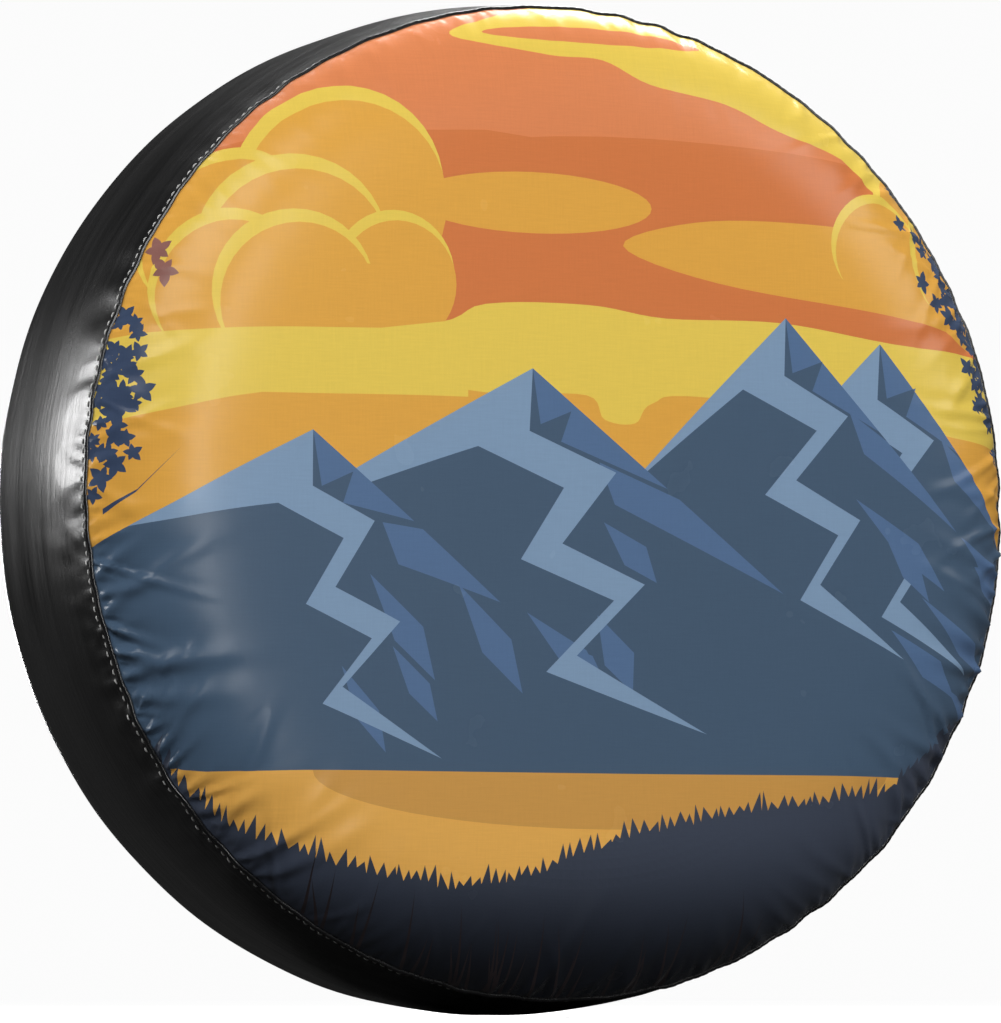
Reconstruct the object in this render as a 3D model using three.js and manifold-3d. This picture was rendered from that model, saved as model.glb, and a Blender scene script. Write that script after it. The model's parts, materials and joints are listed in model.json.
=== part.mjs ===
// Spare tyre cover: a printed cloth face and a black side band sewn together over a piped
// seam, with an elastic and a drawcord in the rear hem and a buckled strap behind the tyre.
//
// Millimetres. The origin is the centre of the plane where the face rests on the tyre's outer
// sidewall. +Y runs from the face to the rear of the tyre, +Z is up, and +X is to the right
// of somebody who looks at the printed face.
import * as THREE from "three";
import { mergeVertices } from "three/addons/utils/BufferGeometryUtils.js";
import Module from "manifold-3d";

const wasm = await Module();
wasm.setup();

// ---- Driving dimensions: a 235/75 R15 tyre, 734 across and 235 wide ----
const TREAD_R = 367.5; // inside of the side band, on the tread
const REAR_Y = 236; // inside of the rear wall
const CLOTH = 1.5; // thickness of the face and of the side band
const FACETS = 60; // flats round each large ring, one of them facing straight down

const FACE_FLAT_R = 300; // the face is flat inside this radius
const SHOULDER_R = 60.7; // inner bend radius of the face's shoulder
const SHOULDER_SWEEP = 65; // degrees
const SEAM_R = 355; // inner radius of the face at the seam
const SEAM_ALLOWANCE_Y = 48; // the sewn edges turn inwards and end here

const PIPING_R = 2.4;
const PIPING_Y = 38;
const BAND_FRONT_Y = 41.2;
const TREAD_FRONT_Y = 66; // the side band has reached the tread here
const REAR_BEND_R = 50; // inner bend radius from the tread to the rear wall

const HEM_FOLD_R = 4; // inner radius of the folded edge round the mouth
const HEM_R = 244.5; // centre of that fold
const HEM_WIDTH = 15.5; // from the fold's centre to the hem's sewn edge
const HEM_SLIT = 0.3; // left open under the hem's stitching

const CORD_R = 1.5;
const CORD_RING_R = 252.5;
const CORD_RING_Y = 232.6;
const EYELET_ANGLE = 7; // degrees either side of straight down
const EYELET_HOLE_R = 2.5;

const LOCK_Z = -292;
const LOCK_BASE_Y = REAR_Y + CLOTH + 0.9;
const LOCK_TRAVEL = 30; // how far the lock slides down the cords
const LOCK_CORD_Y = 11.6; // from the lock's base up to the cords
const LOCK_CORD_X = 2.4; // each cord's distance from the middle
const LOCK_R = 9.5;
const LOCK_HEIGHT = 19.1;
const BUTTON_R = 6.2;
const BUTTON_PRESS = 4;
const CHANNEL_HALF_WIDTH = 4.3; // the slots for both cords
const CHANNEL_HALF_HEIGHT = 1.9;

const CORD_END_X = 7;
const CORD_END_Z = -351;

const STRAP_Z = -95;
const STRAP_WIDTH = 25;
const STRAP_THICKNESS = 1.5;
const STRAP_END_X = 288;
const PATCH_THICKNESS = 1.2;
const LAYER_GAP = 0.3; // between layers that are sewn together
const LAYER_PITCH = STRAP_THICKNESS + LAYER_GAP + 0.05;

// ---- Colours ----
const PRINT = new THREE.MeshStandardMaterial({ color: 0xd29a58, roughness: 0.8 });
const VINYL = new THREE.MeshStandardMaterial({ color: 0x101012, roughness: 0.35 });
const ELASTIC = new THREE.MeshStandardMaterial({ color: 0xe6e2d8, roughness: 0.9 });
const CORD = new THREE.MeshStandardMaterial({ color: 0x18181a, roughness: 0.85 });
const NICKEL = new THREE.MeshStandardMaterial({ color: 0xb9b8b4, roughness: 0.3, metalness: 1 });
const PLASTIC = new THREE.MeshStandardMaterial({ color: 0x141416, roughness: 0.5 });
const WEBBING = new THREE.MeshStandardMaterial({ color: 0x19191b, roughness: 0.9 });

// ---- Helpers ----
const radians = THREE.MathUtils.degToRad;
const point = (x, y) => new THREE.Vector2(x, y);

// Points on an arc round (x, y), from one angle in degrees to another, both included.
function arc(x, y, radius, from, to, steps) {
  return Array.from({ length: steps + 1 }, (_, i) => {
    const angle = radians(from + ((to - from) * i) / steps);
    return point(x + radius * Math.cos(angle), y + radius * Math.sin(angle));
  });
}

// A profile of (radius, y) points turned about the Y axis. It closes on itself off the axis.
function turned(profile, segments) {
  const onAxis = profile[0].x === 0;
  const closed = onAxis ? profile : [...profile, profile[0]];
  return new THREE.LatheGeometry(closed, segments);
}

// A turned ring of the cover, with one flat facing straight down.
const ring = (profile) => turned(profile, FACETS).rotateY(Math.PI / FACETS);

function block(x0, x1, y0, y1, z0, z1) {
  return new THREE.BoxGeometry(x1 - x0, y1 - y0, z1 - z0)
    .translate((x0 + x1) / 2, (y0 + y1) / 2, (z0 + z1) / 2);
}

// A round bar across the strap's width.
function crossBar(x, y, radius, length) {
  return new THREE.CylinderGeometry(radius, radius, length, 16).rotateX(Math.PI / 2).translate(x, y, 0);
}

function prism(outline, height) {
  return new THREE.ExtrudeGeometry(new THREE.Shape(outline), { depth: height, bevelEnabled: false });
}

function toSolid(geometry) {
  const bare = geometry.clone();
  bare.deleteAttribute("normal");
  bare.deleteAttribute("uv");
  const merged = mergeVertices(bare);
  return new wasm.Manifold(
    new wasm.Mesh({
      numProp: 3,
      vertProperties: merged.attributes.position.array,
      triVerts: new Uint32Array(merged.index.array),
    }),
  );
}

function toGeometry(solid) {
  const mesh = solid.getMesh();
  const geometry = new THREE.BufferGeometry();
  geometry.setAttribute("position", new THREE.BufferAttribute(mesh.vertProperties, 3));
  geometry.setIndex(new THREE.BufferAttribute(mesh.triVerts, 1));
  geometry.computeVertexNormals();
  return geometry;
}

// All the solids of `parts` joined, with all of `holes` cut out.
function carved(parts, holes) {
  const joined = parts.map(toSolid).reduce((a, b) => a.add(b));
  return toGeometry(holes.map(toSolid).reduce((a, b) => a.subtract(b), joined));
}

// A path of straight steps between its points, so that bends get as many steps as they need.
class Steps extends THREE.Curve {
  constructor(points) {
    super();
    this.points = points;
  }

  getPoint(t) {
    const place = t * (this.points.length - 1);
    const i = Math.min(Math.floor(place), this.points.length - 2);
    return this.points[i].clone().lerp(this.points[i + 1], place - i);
  }

  getPointAt(u) {
    return this.getPoint(u);
  }

  getTangentAt(u) {
    return this.getTangent(u);
  }
}

function tube(points, radius, sides) {
  const section = new THREE.Shape(arc(0, 0, radius, 0, 360 - 360 / sides, sides - 1));
  return new THREE.ExtrudeGeometry(section, {
    steps: points.length - 1,
    extrudePath: new Steps(points),
  });
}

// Webbing that follows a centre line in x and y, with its width along z.
function webbing(centreLine) {
  const last = centreLine.length - 1;
  const edge = (side) =>
    centreLine.map((p, i) => {
      const along = centreLine[Math.min(i + 1, last)].clone().sub(centreLine[Math.max(i - 1, 0)]);
      along.normalize().multiplyScalar((side * STRAP_THICKNESS) / 2);
      return point(p.x - along.y, p.y + along.x);
    });
  return prism([...edge(-1), ...edge(1).reverse()], STRAP_WIDTH).translate(0, 0, -STRAP_WIDTH / 2);
}

function addMesh(group, name, geometry, material) {
  const mesh = new THREE.Mesh(geometry, material);
  mesh.name = name;
  group.add(mesh);
  return mesh;
}

// ---- The sewn cover ----
// A shallow dish: a flat centre, a round shoulder, and a straight edge inside the seam.
function facePanel() {
  const from = -90;
  const to = from + SHOULDER_SWEEP;
  const edgeInner = SEAM_R - CLOTH - 0.1;
  const outside = arc(FACE_FLAT_R, SHOULDER_R, SHOULDER_R + CLOTH, from, to, 6);
  const inside = arc(FACE_FLAT_R, SHOULDER_R, SHOULDER_R, from, to - 3, 6);
  return ring([
    point(0, -CLOTH),
    ...outside,
    point(edgeInner + CLOTH, 36.4),
    point(edgeInner + CLOTH, SEAM_ALLOWANCE_Y),
    point(edgeInner, SEAM_ALLOWANCE_Y),
    point(edgeInner, 36.2),
    ...inside.reverse(),
    point(0, 0),
  ]);
}

// A cord in a folded strip, whose two edges are sewn between the face and the side band.
function facePiping() {
  const flangeInner = SEAM_R + 0.2;
  const flangeOuter = SEAM_R + 0.9;
  const cord = arc(SEAM_R + 3.2, PIPING_Y, PIPING_R, 200, 510, 10);
  return ring([
    point(flangeInner, SEAM_ALLOWANCE_Y),
    point(flangeInner, PIPING_Y - 0.4),
    ...cord,
    point(flangeOuter, PIPING_Y + 1.8),
    point(flangeOuter, SEAM_ALLOWANCE_Y),
  ]);
}

// One strip from the seam, over the tread and round the rear edge to the folded hem.
function sideBand() {
  const seamInner = SEAM_R + 1.2;
  const bendR = TREAD_R - REAR_BEND_R;
  const bendY = REAR_Y - REAR_BEND_R;
  const hemY = REAR_Y - HEM_FOLD_R;
  const hemEdge = HEM_R + HEM_WIDTH;
  const hemBack = hemY - HEM_FOLD_R;
  const shell = ring([
    point(seamInner, BAND_FRONT_Y),
    point(seamInner + CLOTH, BAND_FRONT_Y),
    point(seamInner + CLOTH + 0.6, 46),
    point(TREAD_R - 1.6, 56),
    point(TREAD_R + CLOTH, TREAD_FRONT_Y),
    ...arc(bendR, bendY, REAR_BEND_R + CLOTH, 0, 90, 6),
    ...arc(HEM_R, hemY, HEM_FOLD_R + CLOTH, 90, 270, 6),
    point(hemEdge + CLOTH, hemBack - CLOTH),
    point(hemEdge + CLOTH, REAR_Y - HEM_SLIT),
    point(hemEdge, REAR_Y - HEM_SLIT),
    point(hemEdge, hemBack),
    ...arc(HEM_R, hemY, HEM_FOLD_R, 270, 90, 6),
    ...arc(bendR, bendY, REAR_BEND_R, 90, 0, 6),
    point(TREAD_R, TREAD_FRONT_Y),
    point(TREAD_R - 3.4, 56),
    point(seamInner + 0.4, 46),
  ]);
  const holes = [-1, 1].map((side) => {
    const hole = new THREE.CylinderGeometry(EYELET_HOLE_R + 1.2, EYELET_HOLE_R + 1.2, 4, 20);
    const { x, z } = eyeletPlace(side);
    return hole.translate(x, REAR_Y + CLOTH / 2, z);
  });
  return carved([shell], holes);
}

// A flat elastic, lying against the front layer of the hem.
function hemElastic() {
  const inner = HEM_R + 0.5;
  const outer = inner + 10;
  const front = REAR_Y - 2 * HEM_FOLD_R + 0.5;
  return ring([
    point(inner, front),
    point(outer, front),
    point(outer, front + CLOTH),
    point(inner, front + CLOTH),
  ]);
}

// ---- The drawcord and its eyelets ----
function onCordRing(degreesFromBottom, y) {
  const angle = radians(degreesFromBottom);
  return new THREE.Vector3(CORD_RING_R * Math.sin(angle), y, -CORD_RING_R * Math.cos(angle));
}

const eyeletPlace = (side) => onCordRing(side * EYELET_ANGLE, 0);

// The cord's way from its ring, through one eyelet, down to the lock and to its free end.
function cordTail(side) {
  const bend = 3;
  const turn = [0, 30, 60, 90].map((degrees) => {
    const along = bend * (1 - Math.sin(radians(degrees)));
    const angle = EYELET_ANGLE + THREE.MathUtils.radToDeg(along / CORD_RING_R);
    return onCordRing(side * angle, CORD_RING_Y + bend * (1 - Math.cos(radians(degrees))));
  });
  const cordY = LOCK_BASE_Y + LOCK_CORD_Y;
  const { x, z } = eyeletPlace(1);
  const lockTop = LOCK_Z + LOCK_R;
  const straightEnd = LOCK_Z - LOCK_R - LOCK_TRAVEL - 1;
  const hanging = [
    [x, cordY - 9, z],
    [x - 0.6, cordY - 5.5, z - 1.5],
    [x - 3, cordY - 2.5, z - 5],
    [x - 8, cordY - 0.6, z - 10],
    [LOCK_CORD_X + 11, cordY, lockTop + 14],
    [LOCK_CORD_X + 3.5, cordY, lockTop + 6],
    [LOCK_CORD_X + 0.5, cordY, lockTop + 2],
    [LOCK_CORD_X, cordY, lockTop],
    [LOCK_CORD_X, cordY, straightEnd],
    [LOCK_CORD_X + 1.2, cordY, straightEnd - 4],
    [CORD_END_X - 0.7, cordY, CORD_END_Z + 6],
    [CORD_END_X, cordY, CORD_END_Z + 1],
    [CORD_END_X, cordY, CORD_END_Z - 6],
  ];
  return [...turn, ...hanging.map(([px, py, pz]) => new THREE.Vector3(side * px, py, pz))];
}

function drawcord() {
  const ringSteps = 54;
  const first = EYELET_ANGLE + 2;
  const around = Array.from({ length: ringSteps + 1 }, (_, i) =>
    onCordRing(first + ((360 - 2 * first) * i) / ringSteps, CORD_RING_Y),
  );
  return tube([...cordTail(1).reverse(), ...around, ...cordTail(-1)], CORD_R, 8);
}

// A turned eyelet: a flange outside, a barrel through the cloth, and a rolled end inside.
function eyelet() {
  const barrelR = EYELET_HOLE_R + 0.8;
  return turned(
    [
      point(EYELET_HOLE_R, -1.4),
      point(barrelR + 1.1, -1.4),
      point(barrelR + 1.1, -1.1),
      point(barrelR, -1),
      point(barrelR, CLOTH + 0.3),
      point(6.5, CLOTH + 0.3),
      point(6.2, CLOTH + 0.9),
      point(3.2, CLOTH + 1.2),
      point(EYELET_HOLE_R, CLOTH + 0.8),
    ],
    20,
  );
}

function eyeletWasher() {
  const inner = EYELET_HOLE_R + 1.1;
  return turned([point(inner, -0.8), point(6, -0.8), point(6, -0.3), point(inner, -0.3)], 20);
}

function cordEnd() {
  const mouth = CORD_R + 0.4;
  const profile = [
    point(0, -13),
    point(2.6, -12.4),
    point(3.6, -10.5),
    point(3.6, -1.5),
    point(2.7, 0),
    point(mouth, 0),
    point(mouth, -7),
    point(0, -7),
  ];
  return turned(profile, 16).rotateX(Math.PI / 2);
}

// ---- The cord lock, base at y = 0, button at the top ----
function cordChannel(low, high) {
  return block(-CHANNEL_HALF_WIDTH, CHANNEL_HALF_WIDTH, low, high, -2 * LOCK_R, 2 * LOCK_R);
}

function lockBody() {
  const chamberR = BUTTON_R + 0.4;
  const floor = 1.4;
  const cup = turned(
    [
      point(0, 0),
      point(LOCK_R - 1.5, 0),
      point(LOCK_R, 1.5),
      point(LOCK_R, 6),
      point(LOCK_R - 0.9, 7),
      point(LOCK_R - 0.9, LOCK_HEIGHT - 3),
      point(LOCK_R, LOCK_HEIGHT - 2),
      point(LOCK_R, LOCK_HEIGHT),
      point(chamberR, LOCK_HEIGHT),
      point(chamberR, floor),
      point(0, floor),
    ],
    24,
  );
  const low = LOCK_CORD_Y - CHANNEL_HALF_HEIGHT;
  return carved([cup], [cordChannel(low, LOCK_CORD_Y + CHANNEL_HALF_HEIGHT)]);
}

function lockButton() {
  const web = 1.5; // under the slot
  const low = LOCK_CORD_Y - CHANNEL_HALF_HEIGHT;
  const capY = LOCK_HEIGHT + BUTTON_PRESS + 0.5;
  const plunger = turned(
    [
      point(0, low - web),
      point(BUTTON_R, low - web),
      point(BUTTON_R, capY),
      point(7.6, capY),
      point(8, capY + 1),
      point(7.4, capY + 2.4),
      point(5, capY + 3.3),
      point(0, capY + 3.6),
    ],
    24,
  );
  const high = low + 2 * CHANNEL_HALF_HEIGHT + BUTTON_PRESS + 0.1;
  return carved([plunger], [cordChannel(low, high)]);
}

function lockSpring() {
  const wireR = 0.4;
  const coilR = 4.2;
  const turns = 3.5;
  const bottom = 2.2;
  const top = 7.5;
  const steps = 42;
  const coil = Array.from({ length: steps + 1 }, (_, i) => {
    const angle = (2 * Math.PI * turns * i) / steps;
    const y = bottom + ((top - bottom) * i) / steps;
    return new THREE.Vector3(coilR * Math.cos(angle), y, coilR * Math.sin(angle));
  });
  return tube(coil, wireR, 6);
}

// ---- The strap and its side-release buckle, y = 0 in the middle of the strap's lower layer ----
const BUCKLE = {
  cheek: 13.4, // half the clear width between the side walls
  socketHalf: 17,
  plugHalf: 16,
  mouthX: 14, // open end of the socket
  socketBackX: -26,
  socketBar: point(-38, 3.95),
  centreBar: point(30, 4.45),
  endBar: point(40, 4.95),
  prongPivot: point(13, 8.5), // x, and z from the middle
};

function strapLeft() {
  const { x, y } = BUCKLE.socketBar;
  return webbing([
    point(-STRAP_END_X, 0),
    point(x - 14, 0),
    point(x - 6, 0.4),
    ...arc(x, y, 3.1, -90, 90, 6),
    point(x - 3.5, 6),
    point(x - 10, 2.7),
    point(x - 16, LAYER_PITCH),
    point(x - 44, LAYER_PITCH),
  ]);
}

function strapRight() {
  const { x, y } = BUCKLE.centreBar;
  return webbing([
    point(STRAP_END_X, 0),
    point(x + 12, 0),
    point(x + 4, 0.4),
    ...arc(x, y, 2.95, -90, -330, 8),
    point(x + 5.5, 3.2),
    point(x + 8.5, 2),
    point(x + 14, LAYER_PITCH),
    point(x + 90, LAYER_PITCH),
  ]);
}

function strapKeeper() {
  const halfZ = STRAP_WIDTH / 2 + 0.4;
  const loop = block(101, 109, -2.3, 4.2, -halfZ - 1.5, halfZ + 1.5);
  return carved([loop], [block(100, 110, -1.1, 3, -halfZ, halfZ)]);
}

function buckleSocket() {
  const { cheek, socketHalf, mouthX, socketBackX, socketBar } = BUCKLE;
  const shell = block(socketBackX, mouthX, 0.35, 8.75, -socketHalf, socketHalf);
  const cheeks = [-1, 1].map((side) => {
    const middle = (side * (cheek + socketHalf)) / 2;
    const half = (socketHalf - cheek) / 2;
    return block(socketBar.x, socketBackX + 1, 1.5, 7, middle - half, middle + half);
  });
  const bar = crossBar(socketBar.x, socketBar.y, 2, 2 * socketHalf);
  const throat = block(-16, mouthX + 1, 1.95, 7.35, -cheek, cheek);
  const windows = block(-14.5, -1.5, 2.75, 6.75, -socketHalf - 1, socketHalf + 1);
  return carved([shell, ...cheeks, bar], [throat, windows]);
}

function bucklePlug() {
  const { cheek, plugHalf, mouthX, centreBar, endBar } = BUCKLE;
  const frontX = mouthX + 1;
  const base = block(frontX, frontX + 9, 0.95, 8.15, -plugHalf, plugHalf);
  const tongue = block(-12, frontX + 1, 2.95, 6.35, -2.2, 2.2);
  const cheeks = [-1, 1].map((side) => {
    const middle = (side * (cheek + plugHalf)) / 2;
    const half = (plugHalf - cheek) / 2;
    return block(frontX + 8, endBar.x, 1.95, 6.95, middle - half, middle + half);
  });
  const bars = [centreBar, endBar].map((bar) => crossBar(bar.x, bar.y, 1.8, 2 * plugHalf));
  return carved([base, tongue, ...cheeks, ...bars], []);
}

// A spring arm with a barb behind the socket's shoulder. `side` is +1 above, -1 below.
function buckleProng(side) {
  const { prongPivot } = BUCKLE;
  const inner = prongPivot.y - 1.5;
  const outer = prongPivot.y + 1.5;
  const outline = [
    ...arc(prongPivot.x, prongPivot.y, 1.5, -90, 90, 6),
    point(-2, outer),
    point(-2, 15.4),
    point(-6, 16.2),
    point(-12, 13),
    point(-13.5, prongPivot.y),
    point(-12, inner),
  ];
  // rotateX(90) lays the outline's y along +z and its height along -y.
  const plate = prism(outline, 3.2).rotateX(Math.PI / 2).translate(0, 6.25, 0);
  return side > 0 ? plate : plate.rotateX(Math.PI).translate(0, 9.3, 0);
}

// A reinforcing patch with round corners, lying on the rear wall round x = 0.
function strapPatch() {
  const halfX = 24;
  const halfZ = 22;
  const corner = 5;
  const outline = [
    ...arc(halfX - corner, halfZ - corner, corner, 0, 90, 4),
    ...arc(corner - halfX, halfZ - corner, corner, 90, 180, 4),
    ...arc(corner - halfX, corner - halfZ, corner, 180, 270, 4),
    ...arc(halfX - corner, corner - halfZ, corner, 270, 360, 4),
  ];
  return prism(outline, PATCH_THICKNESS).rotateX(-Math.PI / 2);
}

// ---- Assembly ----
const cover = new THREE.Group();
addMesh(cover, "face_panel", facePanel(), PRINT);
addMesh(cover, "face_piping", facePiping(), VINYL);
addMesh(cover, "side_band", sideBand(), VINYL);
addMesh(cover, "hem_elastic", hemElastic(), ELASTIC);
addMesh(cover, "drawcord", drawcord(), CORD);

const SIDES = { left: -1, right: 1 };
for (const [name, side] of Object.entries(SIDES)) {
  const { x, z } = eyeletPlace(side);
  addMesh(cover, `eyelet_${name}`, eyelet(), NICKEL).position.set(x, REAR_Y, z);
  addMesh(cover, `eyelet_washer_${name}`, eyeletWasher(), NICKEL).position.set(x, REAR_Y, z);
  const end = addMesh(cover, `cord_end_${name}`, cordEnd(), PLASTIC);
  end.position.set(side * CORD_END_X, LOCK_BASE_Y + LOCK_CORD_Y, CORD_END_Z);
}

const cordLock = new THREE.Group();
cordLock.position.set(0, LOCK_BASE_Y, LOCK_Z);
addMesh(cordLock, "cord_lock_body", lockBody(), PLASTIC);
addMesh(cordLock, "cord_lock_button", lockButton(), PLASTIC);
addMesh(cordLock, "cord_lock_spring", lockSpring(), NICKEL);
cover.add(cordLock);

const patchY = REAR_Y + CLOTH + LAYER_GAP;
const strap = new THREE.Group();
strap.position.set(0, patchY + PATCH_THICKNESS + LAYER_GAP + STRAP_THICKNESS / 2, STRAP_Z);
addMesh(strap, "strap_left", strapLeft(), WEBBING);
addMesh(strap, "strap_right", strapRight(), WEBBING);
addMesh(strap, "strap_keeper", strapKeeper(), PLASTIC);
addMesh(strap, "buckle_socket", buckleSocket(), PLASTIC);
addMesh(strap, "buckle_plug", bucklePlug(), PLASTIC);
addMesh(strap, "buckle_prong_upper", buckleProng(1), PLASTIC);
addMesh(strap, "buckle_prong_lower", buckleProng(-1), PLASTIC);
cover.add(strap);

for (const [name, side] of Object.entries(SIDES)) {
  const patch = addMesh(cover, `strap_patch_${name}`, strapPatch(), VINYL);
  patch.position.set(side * (STRAP_END_X - 22), patchY, STRAP_Z);
}

export default cover;
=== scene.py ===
"""Looks of a spare tyre cover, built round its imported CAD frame.

Shapes are worked out in millimetres in the shared frame: +Y runs from the printed face to the
rear of the tyre and +Z is up. `angle` is measured round the Y axis from +X towards +Z.
"""

import json
import math
import random

import bpy
import numpy as np
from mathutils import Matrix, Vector, kdtree
from mathutils.geometry import delaunay_2d_cdt


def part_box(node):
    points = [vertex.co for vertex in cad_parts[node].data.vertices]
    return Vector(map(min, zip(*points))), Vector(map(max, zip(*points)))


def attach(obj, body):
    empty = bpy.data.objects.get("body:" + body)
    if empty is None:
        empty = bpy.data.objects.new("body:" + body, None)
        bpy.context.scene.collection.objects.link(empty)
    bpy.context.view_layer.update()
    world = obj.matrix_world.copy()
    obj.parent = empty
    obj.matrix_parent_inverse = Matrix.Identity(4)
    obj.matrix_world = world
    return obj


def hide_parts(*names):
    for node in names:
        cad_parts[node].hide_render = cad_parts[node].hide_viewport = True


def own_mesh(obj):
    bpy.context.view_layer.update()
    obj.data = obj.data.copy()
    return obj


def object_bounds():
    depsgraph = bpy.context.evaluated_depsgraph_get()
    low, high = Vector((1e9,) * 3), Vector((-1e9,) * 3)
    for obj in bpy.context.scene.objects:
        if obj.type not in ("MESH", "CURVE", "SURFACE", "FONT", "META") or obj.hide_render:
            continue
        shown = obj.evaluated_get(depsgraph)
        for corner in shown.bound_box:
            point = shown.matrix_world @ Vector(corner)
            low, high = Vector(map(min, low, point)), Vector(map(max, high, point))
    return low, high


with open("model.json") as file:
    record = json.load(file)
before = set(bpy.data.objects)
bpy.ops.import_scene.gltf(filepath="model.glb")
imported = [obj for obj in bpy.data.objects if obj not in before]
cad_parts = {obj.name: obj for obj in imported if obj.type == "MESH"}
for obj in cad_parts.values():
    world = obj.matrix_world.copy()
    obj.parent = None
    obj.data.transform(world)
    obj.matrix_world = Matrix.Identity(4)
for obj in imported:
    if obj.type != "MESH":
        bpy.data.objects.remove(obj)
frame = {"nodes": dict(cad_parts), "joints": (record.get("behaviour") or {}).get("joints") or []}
cad_low, cad_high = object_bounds()

MM = 0.001
TURN = 2 * math.pi


def box_mm(node):
    low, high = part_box(node)
    return np.array(low) / MM, np.array(high) / MM


def joint_reach(name):
    """How far a sliding joint goes, in millimetres."""
    return next(j for j in frame["joints"] if j["name"] == name)["range_m"][1] / MM


# ---- Sizes, from the CAD boxes ----
FACET_SHARE = math.cos(math.radians(3))  # the CAD's rings have 60 flats, so their boxes are smaller
FACE_Y = box_mm("face_panel")[0][1]
REAR_Y = box_mm("side_band")[1][1]
TREAD_R = box_mm("side_band")[1][0] / FACET_SHARE
PIPING_BOX = box_mm("face_piping")
PIPING_R = 2.4
PIPING_DRAWN_R = 1.9  # the vinyl pulls tight round the cord
SEAM_R = PIPING_BOX[1][0] / FACET_SHARE - PIPING_R  # centre of the piping
SEAM_Y = PIPING_BOX[0][1] + PIPING_R
CLOTH = 1.3

FLAT_R = 215  # the face is flat inside this radius
SHOULDER_SPAN = 152.4  # length of cloth from there to the seam
SHOULDER_END = math.radians(58)
FACE_EDGE = FLAT_R + SHOULDER_SPAN  # the face's radius before it is sewn
SEAM_TUCK = (1.0, 1.9)  # how far out and back the face's edge is pulled into the piping
CLOSE_R = 282  # the mesh is close outside this radius
SEAM_STEPS = 1020  # points round the face's edge and the piping
PRINT_STEP = 4.5  # longest side along an edge of the print
LATTICE_GAP = 1.1  # between the print's edges and the mesh's other points
BULGE_SPAN = 100  # the band swells over this distance behind the seam
REAR_BEND_R = 51.5
HEM_R = 244.5
HEM_FOLD_R = 5.5
HEM_EDGE_R = 261.5
HEM_STITCH_R = 258
CORD_R = 1.5
STRAP_REACH = 45  # the rear is held flat under the straps to this far inside the hem


# ---- Small helpers ----
def linear(red, green, blue):
    """A colour given on the usual 0 to 255 scale, as linear light."""
    shares = [c / 255 for c in (red, green, blue)]
    return tuple(s / 12.92 if s <= 0.04045 else ((s + 0.055) / 1.055) ** 2.4 for s in shares)




def smoothstep(low, high, x):
    t = np.clip((x - low) / (high - low), 0, 1)
    return t * t * (3 - 2 * t)


def ring_angles(count):
    return np.arange(count) * TURN / count


def ring_noise(angle, waves, seed):
    """A smooth repeating curve round the ring, from -1 to 1, with about `waves` humps."""
    rng = np.random.default_rng(seed)
    total = np.zeros_like(angle)
    reach = 0
    for k in range(1, int(1.6 * waves) + 1):
        size = math.exp(-(((k - waves) / (0.5 * waves + 1)) ** 2))
        total = total + size * np.cos(k * angle + rng.uniform(0, TURN))
        reach += size * size
    return np.clip(total / math.sqrt(2 * reach), -1.6, 1.6) / 1.6


def unit(vectors):
    return vectors / np.linalg.norm(vectors, axis=-1, keepdims=True)


def lengths_along(path):
    """The distance along a path to each of its points."""
    return np.concatenate([[0], np.cumsum(np.linalg.norm(np.diff(path, axis=0), axis=1))])


def curve_point(a, b, c, d, t):
    """A place between b and c, on a smooth curve through all four points."""
    curve = 2 * b + (c - a) * t + (2 * a - 5 * b + 4 * c - d) * t**2
    return (curve + (3 * b - a - 3 * c + d) * t**3) / 2


def ring_tangents(points):
    return unit(np.roll(points, -1, axis=0) - np.roll(points, 1, axis=0))


def turned_point(radius, y, angle):
    return np.stack([radius * np.cos(angle), y + 0 * angle, radius * np.sin(angle)], -1)


def new_mesh_object(name, points, faces, materials, smooth=True):
    """points in millimetres."""
    mesh = bpy.data.meshes.new(name)
    mesh.from_pydata(np.asarray(points, float) * MM, [], faces)
    for material in materials:
        mesh.materials.append(material)
    mesh.polygons.foreach_set("use_smooth", [smooth] * len(mesh.polygons))
    mesh.update()
    made = bpy.data.objects.new(name, mesh)
    bpy.context.scene.collection.objects.link(made)
    return made


def belongs(obj, body, replaced=None):
    """Puts an object on its body, in place of a CAD piece if one is named."""
    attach(obj, body)
    if replaced:
        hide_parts(replaced)


def grid_faces(rows, columns, wrap_rows=False):
    """Quads over a grid of points stored row by row, which closes round its columns."""
    r, c = np.meshgrid(np.arange(rows if wrap_rows else rows - 1), np.arange(columns), indexing="ij")
    r2, c2 = (r + 1) % rows, (c + 1) % columns
    quads = np.stack([r * columns + c, r * columns + c2, r2 * columns + c2, r2 * columns + c], -1)
    return [tuple(quad) for quad in quads.reshape(-1, 4)]


def tube_faces(rows, columns):
    """The same quads, with both ends closed."""
    last = range((rows - 1) * columns, rows * columns)
    return grid_faces(rows, columns) + [tuple(range(columns))[::-1], tuple(last)]


def grid_normals(points):
    """Unit normals of a grid of points (rows, columns, 3) that closes round its columns."""
    along = np.gradient(points, axis=0)
    around = np.roll(points, -1, axis=1) - np.roll(points, 1, axis=1)
    return unit(np.cross(along, around))


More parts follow.
